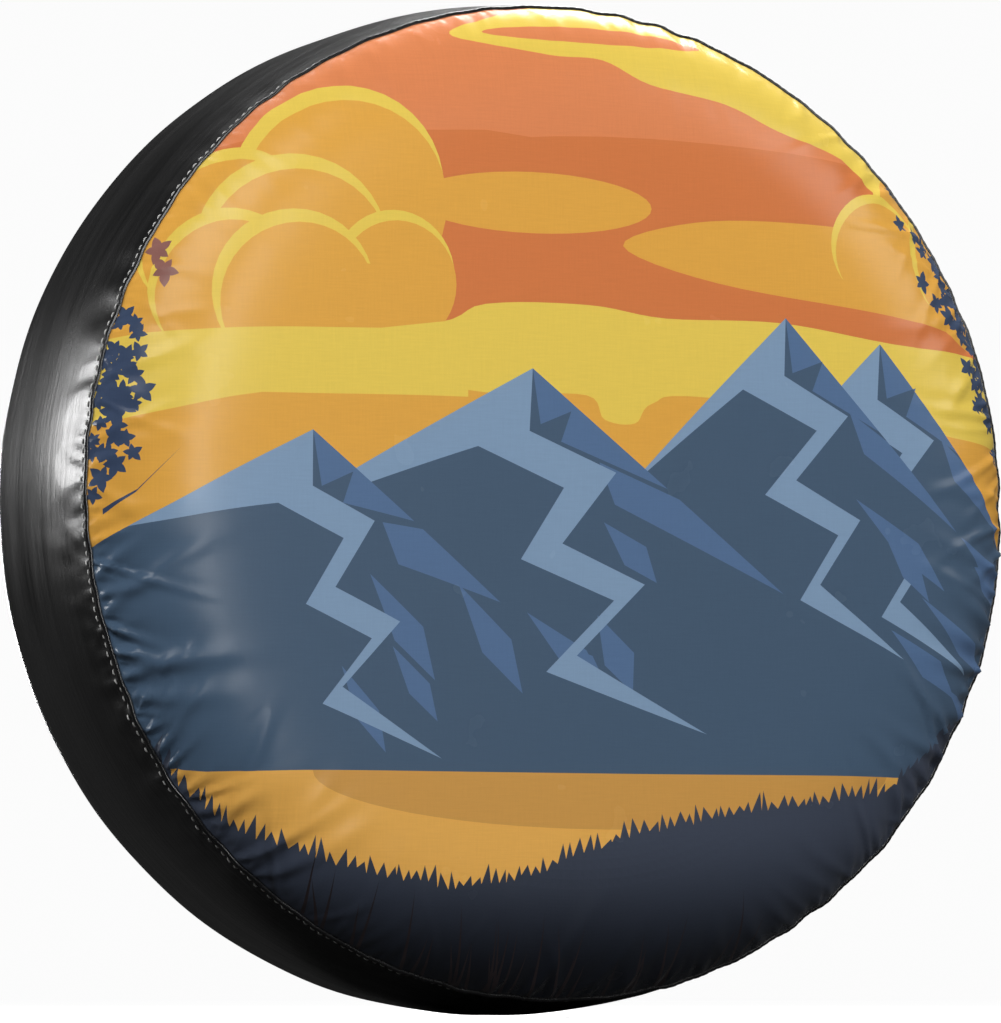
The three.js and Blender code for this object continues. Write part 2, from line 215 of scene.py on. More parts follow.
# ---- Materials ----
class Nodes:
    """A short way to write a node tree."""

    def __init__(self, owner):
        owner.use_nodes = True
        self.owner = owner
        self.tree = owner.node_tree
        self.shader = self.tree.nodes.get("Principled BSDF")

    def add(self, kind, **settings):
        node = self.tree.nodes.new("ShaderNode" + kind)
        for key, value in settings.items():
            if key in node.bl_rna.properties:
                setattr(node, key, value)
            else:
                self.put(value, node.inputs[key.replace("_", " ")])
        return node

    def put(self, value, socket):
        if isinstance(value, bpy.types.NodeSocket):
            self.tree.links.new(value, socket)
        else:
            socket.default_value = value

    def mapped(self, at, scale, turn):
        return self.add("Mapping", Vector=at, Scale=scale, Rotation=turn).outputs[0]

    def place(self, scale=(1, 1, 1), turn=(0, 0, 0)):
        """Object coordinates in millimetres, scaled and turned."""
        return self.mapped(self.add("TexCoord").outputs["Object"], [s / MM for s in scale], turn)

    def along(self, scale=(1, 1, 1), turn=(0, 0, 0)):
        """The uv map in millimetres: u along the piece and v across it, scaled and turned."""
        return self.mapped(self.add("UVMap", uv_map="along").outputs[0], scale, turn)

    def noise(self, scale, detail=3, roughness=0.5, at=None):
        at = self.place() if at is None else at
        node = self.add("TexNoise", Vector=at, Scale=scale, Detail=detail, Roughness=roughness)
        return node.outputs["Fac"]

    def ramp(self, value, low, high):
        node = self.add("MapRange")
        for index, setting in ((0, value), (3, low), (4, high)):
            self.put(setting, node.inputs[index])
        return node.outputs[0]

    def maths(self, operation, *values):
        node = self.add("Math", operation=operation)
        for value, socket in zip(values, node.inputs):
            self.put(value, socket)
        return node.outputs[0]

    def plus(self, a, b, share=1.0):
        """a + share * b"""
        return self.maths("MULTIPLY_ADD", b, share, a)

    def mix(self, share, a, b, blend="MIX"):
        """Mixes two sockets or plain colours."""
        node = self.add("Mix", data_type="RGBA", blend_type=blend)
        for index, value in ((0, share), (6, a), (7, b)):
            self.put((*value, 1) if isinstance(value, tuple) else value, node.inputs[index])
        return node.outputs[2]

    def bump(self, height, depth_mm, strength):
        node = self.add("Bump", Strength=strength, Distance=depth_mm * MM, Height=height)
        self.put(node.outputs[0], self.shader.inputs["Normal"])

    def finish(self, **inputs):
        for key, value in inputs.items():
            self.put(value, self.shader.inputs[key.replace("_", " ")])
        return self.owner


def new_material(name):
    return Nodes(bpy.data.materials.new(name))


def bands(n, at, direction, pitch, distortion=0.0):
    """Even ribs, `pitch` millimetres apart: the texture repeats every TURN / 20 of its own unit."""
    wave = n.add("TexWave", Vector=at, Scale=TURN / 20 / pitch, Distortion=distortion)
    wave.bands_direction = direction
    return wave.outputs["Fac"]


def weave(n, pitch):
    """Height of a plain weave on the cover's face, threads along x and z."""
    return n.maths("MULTIPLY", *[bands(n, n.place(), axis, pitch, 0.4) for axis in "XZ"])


def printed_cloth():
    n = new_material("printed_cloth")
    print_colour = n.add("Attribute", attribute_name="print").outputs["Color"]
    threads = weave(n, 0.9)
    slubs = n.noise(1.0, 2, at=n.place((0.05, 0.05, 0.9)))
    cross_slubs = n.noise(1.0, 2, at=n.place((0.9, 0.05, 0.05)))
    uneven = n.plus(n.ramp(slubs, -0.05, 0.05), n.ramp(cross_slubs, -0.04, 0.04))
    shade = n.plus(n.ramp(threads, 0.95, 1.03), uneven)
    grey = n.add("CombineColor", Red=shade, Green=shade, Blue=shade).outputs[0]
    colour = n.mix(1.0, print_colour, grey, "MULTIPLY")
    rough = n.ramp(n.noise(0.02), 0.24, 0.29)
    n.bump(n.plus(threads, uneven, 6.0), 0.03, 0.5)
    return n.finish(Base_Color=colour, Roughness=rough, Specular_IOR_Level=0.2, Sheen_Weight=0.05)


def lining_cloth():
    n = new_material("lining_cloth")
    colour = n.mix(n.ramp(n.noise(0.012, 4), 0, 1), (0.60, 0.57, 0.52), (0.74, 0.72, 0.68))
    n.bump(weave(n, 1.1), 0.08, 0.7)
    return n.finish(Base_Color=colour, Roughness=0.85, Sheen_Weight=0.2)


def black_vinyl(name, shine, grain):
    """PVC leather: a fine pebble grain under a soft gloss."""
    n = new_material(name)
    pebbles = n.add("TexVoronoi", Vector=n.place(), Scale=0.9).outputs["Distance"]
    creases = n.noise(0.35, 5, 0.6)
    colour = n.mix(n.noise(0.11, 4), (0.003, 0.003, 0.0032), (0.010, 0.010, 0.0105))
    rough = n.plus(n.ramp(n.noise(0.03), shine - 0.08, shine + 0.08), n.ramp(creases, -0.06, 0.06))
    n.bump(n.plus(creases, pebbles, 0.35), grain, 0.6)
    return n.finish(Base_Color=colour, Roughness=rough, Coat_Weight=0.12)


def band_vinyl():
    """The same vinyl pulled tight round the tread: fine creases run round it."""
    n = new_material("band_vinyl")
    creases = n.noise(1.0, 4, 0.62, n.along((0.012, 0.22, 1)))
    broad = n.noise(1.0, at=n.along((0.006, 0.05, 1)))
    pebbles = n.add("TexVoronoi", Vector=n.place(), Scale=0.9).outputs["Distance"]
    colour = n.mix(n.noise(0.05, 4), (0.001, 0.001, 0.0011), (0.004, 0.004, 0.0042))
    rough = n.plus(n.ramp(broad, 0.24, 0.42), n.ramp(creases, -0.07, 0.07))
    n.bump(n.plus(n.plus(creases, broad), pebbles, 0.12), 0.5, 0.6)
    return n.finish(Base_Color=colour, Roughness=rough, Coat_Weight=0.1)


def sewing_thread():
    n = new_material("grey_thread")
    twist = bands(n, n.place(turn=(0.6, 0.4, 0.7)), "X", 0.5)
    colour = n.mix(twist, (0.48, 0.48, 0.468), (0.80, 0.80, 0.78))
    n.bump(twist, 0.1, 0.8)
    return n.finish(Base_Color=colour, Roughness=0.6, Sheen_Weight=0.3)


def webbing_cloth():
    """Black webbing: ribs along its length, crossed by slanted picks."""
    n = new_material("black_webbing")
    ribs = bands(n, n.place(), "Z", 1.5)
    picks = bands(n, n.place(turn=(0, 0.6, 0)), "X", 0.9, 0.5)
    height = n.plus(n.maths("MULTIPLY", ribs, picks), ribs, 0.5)
    colour = n.mix(height, (0.008, 0.008, 0.009), (0.038, 0.038, 0.041))
    n.bump(n.plus(height, n.noise(1.4), 0.3), 0.25, 0.8)
    return n.finish(Base_Color=colour, Roughness=0.7, Sheen_Weight=0.25)


def braided_cord():
    """Two sets of strands that cross on their way round the cord."""
    n = new_material("black_cord")
    height = n.maths("MAXIMUM", *[bands(n, n.along(turn=(0, 0, lean)), "X", 1.3) for lean in (0.8, -0.8)])
    colour = n.mix(height, (0.006, 0.006, 0.006), (0.045, 0.045, 0.048))
    n.bump(height, 0.25, 0.9)
    return n.finish(Base_Color=colour, Roughness=0.6, Sheen_Weight=0.2)


def knitted_elastic():
    n = new_material("white_elastic")
    height = n.plus(bands(n, n.place(), "Y", 1.0), n.noise(1.2, 2), 0.4)
    colour = n.mix(height, (0.55, 0.53, 0.49), (0.80, 0.78, 0.74))
    n.bump(height, 0.2, 0.8)
    return n.finish(Base_Color=colour, Roughness=0.9)


def moulded_plastic():
    n = new_material("black_plastic")
    handled = n.noise(0.15)
    colour = n.mix(handled, (0.014, 0.014, 0.015), (0.026, 0.026, 0.028))
    n.bump(n.noise(2.2, 4, 0.6), 0.04, 0.7)
    return n.finish(Base_Color=colour, Roughness=n.ramp(handled, 0.36, 0.52))


def metal(name, colour, rough):
    n = new_material(name)
    scratches = n.noise(1.5, 4, 0.7, n.place((0.2, 3.0, 0.2)))
    shade = n.mix(n.noise(0.4), tuple(c * 0.72 for c in colour), colour)
    n.bump(scratches, 0.01, 0.5)
    return n.finish(Base_Color=shade, Metallic=1.0, Roughness=n.ramp(scratches, rough - 0.06, rough + 0.1))


PRINT = printed_cloth()
LINING = lining_cloth()
VINYL = black_vinyl("black_vinyl", 0.34, 0.16)
BAND_VINYL = band_vinyl()
PIPING_VINYL = black_vinyl("piping_vinyl", 0.26, 0.06)
THREAD = sewing_thread()
WEBBING = webbing_cloth()
CORD = braided_cord()
ELASTIC = knitted_elastic()
PLASTIC = moulded_plastic()
NICKEL = metal("nickel", (0.72, 0.71, 0.68), 0.22)
STEEL = metal("spring_steel", (0.60, 0.60, 0.61), 0.3)


# ---- The seam and the folds that run from it ----
# How strongly the cloth is gathered round the seam: (angle in degrees, strength, spread).
LEAST_GATHERED = 0.22
GATHERED = [(210, 2.0, 20), (180, 0.4, 18), (328, 1.5, 20), (352, 0.9, 16), (20, 0.6, 25), (265, 0.7, 25)]


def gather_strength(angle):
    total = LEAST_GATHERED + 0 * angle
    for middle, strength, spread in GATHERED:
        off = (np.degrees(angle) - middle + 180) % 360 - 180
        total = total + strength * np.exp(-((off / spread) ** 2))
    return total


def seam_shift(angle):
    """How far the seam line wanders off its circle, outwards and towards the rear."""
    out = 0.9 * ring_noise(angle, 9, 3) + 0.7 * ring_noise(angle, 38, 4) * gather_strength(angle)
    out = out + 1.2 * ring_noise(angle, 62, 8)
    back = 1.2 * ring_noise(angle, 7, 5) + 0.7 * ring_noise(angle, 30, 6) * gather_strength(angle)
    return out, back


class Folds:
    """Soft ridges that start at the seam and die out away from it."""

    def __init__(self, seed, count, reach, width, height):
        rng = np.random.default_rng(seed)
        step = TURN / count
        self.angle = np.arange(count) * step + rng.uniform(-0.42, 0.42, count) * step
        self.reach = rng.uniform(*reach, count)
        self.width = rng.uniform(*width, count)
        self.height = rng.uniform(*height, count) * gather_strength(self.angle)
        self.slant = rng.normal(0, 0.42, count)
        self.curl = rng.normal(0, 0.0035, count)

    def at(self, angle, away):
        """Height in millimetres, `away` millimetres from the seam."""
        total = np.zeros_like(angle)
        for a, reach, width, height, slant, curl in zip(
            self.angle, self.reach, self.width, self.height, self.slant, self.curl
        ):
            off = ((angle - a + math.pi) % TURN - math.pi) * SEAM_R
            near = np.abs(off) < 5 * width + 40
            side = off[near] - slant * away[near] - curl * away[near] ** 2
            wide = width * (0.75 + 0.9 * away[near] / reach)
            ridge = np.exp(-((side / wide) ** 2)) - 0.55 * np.exp(-((side / (1.9 * wide)) ** 2))
            fade = np.exp(-((away[near] / reach) ** 2))
            total[near] += height * ridge * fade
        return total


FACE_FOLDS = Folds(11, 180, (22, 66), (2.6, 6.2), (1.6, 4.4))
FINE_FOLDS = Folds(12, 320, (8, 22), (1.5, 2.8), (0.7, 1.5))
BAND_FOLDS = Folds(13, 150, (12, 48), (2.6, 6.0), (0.5, 1.7))

STITCH_PITCH = 6.6
STITCH_COUNT = round(TURN * SEAM_R / STITCH_PITCH)


def stitch_pucker(angle, away):
    """The dimples that each stitch pulls into the cloth beside the seam."""
    return -0.5 * np.cos(STITCH_COUNT * angle) * np.exp(-((away - 2.5) / 2.6) ** 2)


def shoulder_tilt(s):
    return SHOULDER_END * np.clip((s - FLAT_R) / SHOULDER_SPAN, 0, 1) ** 3


def face_profile():
    """Distance along the cloth, radius and y, from the middle of the face to the seam."""
    s = np.linspace(0, FACE_EDGE, 3000)
    step = s[1]
    tilt = shoulder_tilt(s)
    return s, np.cumsum(np.cos(tilt)) * step - step, FACE_Y + np.cumsum(np.sin(tilt)) * step


FACE_PROFILE = face_profile()


# ---- Cloth simulation of the gathered shoulder ----
SIM_SCALE = 10  # the cloth solver is steadier on a piece larger than life
SIM_COLUMNS, SIM_ROWS = 640, 29
SIM_INNER = 232  # from here to the seam
SIM_FRAMES = 40
CREASED = (284, 330)  # the simulated creases are let in between these distances along the cloth


def sewn_offset(angle):
    """How far the seam feeds the cloth round: it packs more cloth in where it gathers."""
    fine = ring_angles(3600)
    gather = gather_strength(fine) - gather_strength(fine).mean()
    fed = np.cumsum(-0.05 * gather) * fine[1]
    return np.interp(angle % TURN, fine, fed - fed.mean(), period=TURN)


def sewn_angle(angle, s):
    share = 0.5 + 0.5 * smoothstep(SIM_INNER, FACE_EDGE, s)
    return angle + sewn_offset(angle) * share * smoothstep(60, SIM_INNER, s)


def smooth_face(angle, s):
    """The face with no folds, at the angle where the seam puts the cloth."""
    around = sewn_angle(angle, s)
    out, back = seam_shift(around)
    near_seam = smoothstep(FACE_EDGE - 60, FACE_EDGE, s)
    tucked = smoothstep(FACE_EDGE - 14, FACE_EDGE, s)
    radius = np.interp(s, *FACE_PROFILE[:2]) + out * near_seam + SEAM_TUCK[0] * tucked
    y = np.interp(s, FACE_PROFILE[0], FACE_PROFILE[2]) + back * near_seam + SEAM_TUCK[1] * tucked
    return turned_point(radius, y, around), around


def sim_object(name, points):
    rows, columns, _ = points.shape
    return new_mesh_object(name, points.reshape(-1, 3) * SIM_SCALE, grid_faces(rows, columns), [])


def sim_tyre():
    """The tyre's sidewall and shoulder, just under the cloth."""
    angle = ring_angles(180)
    s = np.linspace(150, FACE_EDGE, 32)
    tilt = shoulder_tilt(s)[:, None]
    radius = np.interp(s, *FACE_PROFILE[:2])[:, None] - 1.6 * np.sin(tilt)
    y = np.interp(s, FACE_PROFILE[0], FACE_PROFILE[2])[:, None] + 1.6 * np.cos(tilt)
    tyre = sim_object("sim_tyre", turned_point(radius, y, angle + 0 * tilt))
    if tyre.data.polygons[0].normal.y > 0:
        tyre.data.flip_normals()
    tyre.modifiers.new("collision", "COLLISION")
    tyre.collision.thickness_outer = 0.004
    return tyre


def sim_cloth(flat, sewn):
    cloth = sim_object("sim_cloth", flat)
    cloth.shape_key_add(name="flat")
    key = cloth.shape_key_add(name="sewn")
    key.data.foreach_set("co", (sewn.reshape(-1, 3) * MM * SIM_SCALE).astype(np.float32).ravel())
    for frame_number, value in ((1, 0), (int(0.6 * SIM_FRAMES), 1)):
        key.value = value
        key.keyframe_insert("value", frame=frame_number)
    pins = cloth.vertex_groups.new(name="pins")
    last = (SIM_ROWS - 1) * SIM_COLUMNS
    pins.add(list(range(SIM_COLUMNS)) + list(range(last, last + SIM_COLUMNS)), 1.0, "REPLACE")
    modifier = cloth.modifiers.new("cloth", "CLOTH")
    modifier.point_cache.frame_end = SIM_FRAMES
    settings = modifier.settings
    settings.vertex_group_mass = "pins"
    settings.quality = 5
    settings.tension_stiffness = settings.compression_stiffness = 20
    settings.shear_stiffness = 6
    settings.bending_stiffness = 0.2
    settings.effector_weights.gravity = 0
    modifier.collision_settings.distance_min = 0.012
    return cloth


def eased(moved):
    """Takes the sharpest creases out of the simulated moves, and keeps 3/4 of their height."""
    for _ in range(3):
        moved = 0.5 * moved + 0.25 * (np.roll(moved, 1, axis=1) + np.roll(moved, -1, axis=1))
        moved[1:-1] = 0.5 * moved[1:-1] + 0.25 * (moved[2:] + moved[:-2])
    return 0.75 * moved


def simulate_shoulder():
    """Sews a flat ring of cloth to the smaller seam over a tyre; returns how far each point moved off
    the smooth face, as (outwards, back, round)."""
    angle = ring_angles(SIM_COLUMNS)
    s = np.linspace(SIM_INNER, FACE_EDGE, SIM_ROWS)
    s_grid, angle_grid = np.meshgrid(s, angle, indexing="ij")
    sewn, around = smooth_face(angle_grid, s_grid)
    flat = turned_point(s_grid, FACE_Y, sewn_angle(angle_grid, SIM_INNER))
    flat[..., 1] -= np.random.default_rng(5).uniform(0, 0.4, s_grid.shape)
    tyre = sim_tyre()
    cloth = sim_cloth(flat, sewn)
    scene = bpy.context.scene
    for number in range(1, SIM_FRAMES + 1):
        scene.frame_set(number)
    settled = cloth.evaluated_get(bpy.context.evaluated_depsgraph_get()).to_mesh()
    points = np.zeros(SIM_ROWS * SIM_COLUMNS * 3, np.float32)
    settled.vertices.foreach_get("co", points)
    scene.frame_set(1)
    moved = eased(points.reshape(sewn.shape) / MM / SIM_SCALE - sewn)
    for extra in (cloth, tyre):
        bpy.data.objects.remove(extra)
    cos, sin = np.cos(around), np.sin(around)
    outwards = moved[..., 0] * cos + moved[..., 2] * sin
    turned = moved[..., 2] * cos - moved[..., 0] * sin
    return np.stack([outwards, moved[..., 1], turned], -1)


def sample_grid(grid, row, column):
    """Smooth value of a grid between its points; it closes round its columns."""
    row = np.clip(row, 0, len(grid) - 1.001)
    r, c = np.floor(row).astype(int), np.floor(column).astype(int)
    near = (-1, 0, 1, 2)

    def across(step):
        beside = np.clip(r + step, 0, len(grid) - 1)
        return curve_point(*[grid[beside, (c + k) % grid.shape[1]] for k in near], (column - c)[:, None])

    return curve_point(*[across(step) for step in near], (row - r)[:, None])


SHOULDER_MOVES = simulate_shoulder()


def face_surface(angle, s):
    """Points and normals of the face's outside, `s` millimetres from its middle before sewing."""
    base, around = smooth_face(angle, s)
    theta = shoulder_tilt(s)
    cos, sin = np.cos(around), np.sin(around)
    normal = np.stack([np.sin(theta) * cos, -np.cos(theta), np.sin(theta) * sin], -1)
    away = FACE_EDGE - s
    folds = FACE_FOLDS.at(around, away)
    if SHOULDER_MOVES is not None:
        column = (angle % TURN) / TURN * SIM_COLUMNS
        row = (s - SIM_INNER) / (FACE_EDGE - SIM_INNER) * (SIM_ROWS - 1)
        moves = sample_grid(SHOULDER_MOVES, row, column) * smoothstep(*CREASED, s)[:, None]
        outwards, back, turned = moves.T
        base = base + np.stack([outwards * cos - turned * sin, back, outwards * sin + turned * cos], -1)
        folds = 0.95 * folds  # the simulation holds a little of them already
    height = (folds + FINE_FOLDS.at(around, away) + stitch_pucker(around, away)) * smoothstep(-1, 7, away)
    drape = 0.45 * np.cos(2.1 * angle + 0.6) * np.exp(-(((s - 250) / 90) ** 2))
    return base + normal * (height + drape)[..., None], normal


# ---- The print: a plain mountain sunset, in millimetres on the flat face ----
COLOURS = {
    "sky": linear(208, 120, 68),
    "glow": linear(218, 132, 84),
    "gold": linear(222, 164, 70),
    "yellow": linear(228, 198, 86),
    "rock": linear(70, 90, 112),
    "rock_mid": linear(84, 110, 146),
    "rock_light": linear(126, 152, 180),
    "lake": linear(226, 170, 84),
    "lake_dim": linear(202, 150, 76),
    "forest": linear(62, 69, 84),
    "grass": linear(38, 32, 34),
    "leaf": linear(60, 74, 100),
    "plum": linear(142, 98, 90),
}
SHORE_Z = -197
EDGE = 385  # beyond the face on every side


def disc(x, z, rx, rz=None, steps=40):
    rz = rx if rz is None else rz
    return [(x + rx * math.cos(TURN * i / steps), z + rz * math.sin(TURN * i / steps)) for i in range(steps)]


def rounded(points, steps=6):
    """A closed outline that runs smoothly through its points."""
    p = np.array(points, float)
    neighbours = zip(*[np.roll(p, shift, axis=0) for shift in (1, 0, -1, -2)])
    return [tuple(curve_point(*near, t)) for near in neighbours for t in np.arange(steps) / steps]


def puff(x, z, radius):
    """A round head of cloud, gold with a yellow upper rim."""
    rim = (disc(x, z, radius), "yellow")
    return [rim, (disc(x + 0.06 * radius, z - 0.13 * radius, radius * 0.97), "gold")]


def shard(x, z, length, width, lean):
    """A thin four-sided facet of rock whose long axis leans off the vertical."""
    down = np.array([math.sin(lean), -math.cos(lean)])
    side = np.array([down[1], -down[0]])
    top = np.array([x, z])
    corners = [(0, 0), (0.55, 0.5), (1, 0.1), (0.6, -0.5)]
    return [tuple(top + length * a * down + width * b * side) for a, b in corners]


def below(z):
    """Everything in the picture below a level."""
    return [(-EDGE, z), (EDGE, z), (EDGE, -EDGE), (-EDGE, -EDGE)]


def sky_layers():
    high_cloud = [
        (-88, 334), (-20, 320), (22, 318), (58, 302), (118, 292), (160, 276), (214, 262), (262, 232),
        (EDGE, 240), (300, EDGE), (60, EDGE), (-60, 352),
    ]
    low_band = [
        (-EDGE, 118), (-130, 120), (-70, 137), (10, 139), (70, 132), (160, 134), (250, 125), (EDGE, 120),
        (EDGE, 60), (110, 76), (60, 70), (46, 55), (22, 57), (8, 74), (-60, 73), (-130, 78), (-240, 72),
        (-EDGE, 58),
    ]
    long_cloud = [
        (36, 183), (92, 203), (180, 208), (290, 205), (EDGE, 190), (EDGE, 138), (250, 146), (110, 160),
    ]
    layers = [
        (disc(0, 0, EDGE, steps=48), "sky"),
        ([(-EDGE, EDGE), (-EDGE, 250), (-70, 262), (40, 250), (EDGE, 215), (EDGE, EDGE)], "glow"),
        (rounded([(-120, 214), (120, 232), (EDGE, 190), (EDGE, 245), (60, 262), (-120, 246)]), "sky"),
        (rounded(high_cloud), "yellow"),
        (disc(20, 338, 86, 7), "glow"),
        (disc(-40, 312, 70, 6), "glow"),
        (below(100), "gold"),
        (rounded(low_band), "yellow"),
        (disc(-34, 211, 92, 22), "gold"),
        (rounded(long_cloud), "gold"),
    ]
    left_puffs = [(-178, 218, 76), (-320, 168, 62), (-262, 186, 66), (-214, 172, 70), (-140, 156, 46)]
    for place in left_puffs + [(-262, 148, 56), (-214, 142, 60)]:
        layers += puff(*place)
    foot = [(-EDGE, 118), (-150, 118), (-98, 124), (-84, 100), (-84, 70), (-240, 72), (-EDGE, 62)]
    layers += [
        (disc(-170, 138, 52, 26), "gold"),
        ([(-EDGE, 118), (-160, 118), (-EDGE, 60)], "yellow"),
        (foot, "yellow"),
    ]
    for place in [(330, 244, 62), (288, 226, 50), (242, 196, 42), (330, 196, 60)]:
        layers += puff(*place)
    return layers


def snow_face(peak, ridge, right_foot, drop, seed):
    """A light face that falls from a peak in zigzags, with its first corner on the left ridge."""
    rng = random.Random(seed)
    x, z = peak
    spread = (right_foot[0] - x) / 200
    falls = 5
    left, right = [ridge], []
    for k in range(1, falls + 1):
        swing = (-30 if k % 2 else 22) * rng.uniform(0.8, 1.2)
        middle = x + spread * (10 * k + swing)
        level = z - drop * (k + 0.3 * (k % 2)) / falls
        width = spread * 20 * (1 - 0.1 * k) * rng.uniform(0.85, 1.15)
        left.append((middle - width, level - 5))
        right.append((middle + width, level + 7))
    tip = (x + spread * 118, z - drop * 1.3)
    return [peak] + left + [tip] + right[::-1]


def mountain(peak, left_foot, right_foot, drop, seed):
    """Layers of one peak: its snow face, the shaded face on its right and loose facets below."""
    rng = random.Random(seed)
    x, z = peak

    def on(foot, share):
        return (x + (foot[0] - x) * share, z + (foot[1] - z) * share)

    shaded = [peak, on(right_foot, 0.46), (x + 22, z - 52), (x + 30, z - 30), (x + 6, z - 40)]
    notch = [on(right_foot, 0.5), on(right_foot, 0.86), (x + 64, z - 96), (x + 52, z - 66)]
    layers = [([peak, left_foot, right_foot], "rock"), (shaded, "rock_mid"), (notch, "rock_mid")]
    for _ in range(4):
        side = x + rng.uniform(-10, 120)
        level = rng.uniform(SHORE_Z + 66, z - 96)
        length = min(rng.uniform(56, 100), (level - SHORE_Z) * 0.95)
        layers.append((shard(side, level, length, rng.uniform(16, 26), rng.uniform(0.5, 1.0)), "rock_mid"))
    layers.append((snow_face(peak, on(left_foot, 0.74), right_foot, drop, seed), "rock_light"))
    return layers


def mountain_layers():
    """A range of four peaks whose feet run together."""
    base = [(-EDGE, -44), (-344, -22), (-150, -40), (60, -40), (320, -30), (EDGE, -40)]
    layers = [(base + [(EDGE, SHORE_Z), (-EDGE, SHORE_Z)], "rock")]
    layers += mountain((240, 124), (96, -30), (EDGE, -38), 186, 5)
    layers += mountain((164, 138), (-6, -40), (330, -34), 190, 17)
    layers += mountain((-34, 92), (-300, -52), (196, -90), 200, 9)
    layers += mountain((-202, 46), (-EDGE, -40), (-36, -96), 180, 4)
    return layers + [(below(SHORE_Z), "rock")]


def land_layers():
    glint = [p for p in disc(24, SHORE_Z, 226, 40, 60) if p[1] <= SHORE_Z + 0.1]
    layers = [(below(SHORE_Z), "lake"), (glint, "lake_dim")]
    rng = random.Random(21)
    shore = [
        (-EDGE, -150), (-318, -184), (-290, -216), (-262, -236), (-222, -250), (-178, -262), (-96, -278),
        (-30, -268), (0, -252), (60, -236), (126, -222), (190, -216), (244, -208), (262, -198), (300, -170),
        (EDGE, -120),
    ]
    xs, zs = zip(*shore)
    treeline, x = [], -EDGE
    while x < EDGE:
        step = rng.uniform(5, 9)
        base = float(np.interp(x, xs, zs))
        treeline.append((x, base - rng.uniform(0, 4)))
        treeline.append((x + step * rng.uniform(0.2, 0.9), base + rng.uniform(3, 13)))
        x += step
    layers.append((treeline + [(EDGE, -EDGE), (-EDGE, -EDGE)], "forest"))
    for _ in range(34):
        x, lean = rng.uniform(-210, 210), rng.uniform(-12, 12)
        foot = -math.sqrt(358**2 - x * x)
        top = foot + rng.uniform(24, 62)
        layers.append(([(x - 1.4, foot - 10), (x + lean, top), (x + 1.6, foot - 10)], "grass"))
    return layers


def leaf(x, z, length, turn):
    """A pointed leaf that grows from (x, z)."""
    along = np.array([math.cos(turn), math.sin(turn)])
    side = np.array([-along[1], along[0]])
    shares = np.linspace(0, 1, 6)
    width = 0.3 * np.sin(math.pi * shares**0.8)
    edges = list(zip(shares, width)) + list(zip(shares, -width))[-2:0:-1]
    return [tuple(np.array([x, z]) + length * (t * along + w * side)) for t, w in edges]


def sprig(rng, x, z, size, colour):
    """A few leaves that fan out from one place."""
    first = rng.uniform(0, TURN)
    return [(leaf(x, z, size * rng.uniform(0.8, 1.2), first + k * TURN / 5), colour) for k in range(5)]


def round_the_face(distance, angle):
    return distance * math.cos(angle), distance * math.sin(angle)


def foliage_layers():
    """Leaves that lean in over both edges of the picture."""
    rng = random.Random(8)
    layers = []
    for low, high, count in [(157, 181, 44), (4, 44, 58)]:
        for _ in range(count):
            angle = math.radians(rng.triangular(low, high))
            place = round_the_face(FACE_EDGE - 1 - abs(rng.gauss(0, 15)), angle)
            layers += sprig(rng, *place, rng.uniform(6, 10), "leaf")
    for degrees, distance in [(152, 346), (150, 357)]:
        layers += sprig(rng, *round_the_face(distance, math.radians(degrees)), 11, "plum")
    return layers + [([(-356, -4), (-330, 8), (-299, 36), (-331, 6), (-356, -8)], "leaf")]


def in_polygon(points, outline):
    """Which of the points lie inside the outline."""
    x, z = points[:, 0], points[:, 1]
    inside = np.zeros(len(points), bool)
    ends = np.asarray(outline, float)
    for (x1, z1), (x2, z2) in zip(ends, np.roll(ends, -1, axis=0)):
        if z1 == z2:
            continue
        crosses = (z1 > z) != (z2 > z)
        inside ^= crosses & (x < x1 + (z - z1) * (x2 - x1) / (z2 - z1))
    return inside


def split_edges(outline, longest):
    """The outline with points added so that no side is longer than `longest`."""
    made = []
    for a, b in zip(outline, outline[1:] + outline[:1]):
        parts = max(1, math.ceil(math.dist(a, b) / longest))
        made += [(a[0] + (b[0] - a[0]) * k / parts, a[1] + (b[1] - a[1]) * k / parts) for k in range(parts)]
    return made


def face_lattice():
    """Points over the face: wide apart in the flat middle, close on the gathered shoulder."""
    rim = FACE_EDGE - 9
    rings = [(r, 7.2) for r in np.arange(7, CLOSE_R, 7.0)]
    rings += [(r, 2.7) for r in np.arange(CLOSE_R, rim, 2.7)]
    rings += [(r, 2.2) for r in np.linspace(rim + 1, FACE_EDGE - 1.5, 4)]
    points = [(0.3, 0.2)]
    for i, (radius, pitch) in enumerate(rings):
        count = round(TURN * radius / pitch)
        angle = (np.arange(count) + 0.5 * (i % 2)) * TURN / count
        points += list(zip(radius * np.cos(angle), radius * np.sin(angle)))
    return points


def clear_of(points, extra, distance):
    """Those of the extra points that are no closer than `distance` to any of the points."""
    near = [p for p in points if math.hypot(*p) <= FACE_EDGE + 6]
    tree = kdtree.KDTree(len(near))
    for i, p in enumerate(near):
        tree.insert((*p, 0), i)
    tree.balance()
    return [p for p in extra if tree.find((*p, 0))[2] > distance]


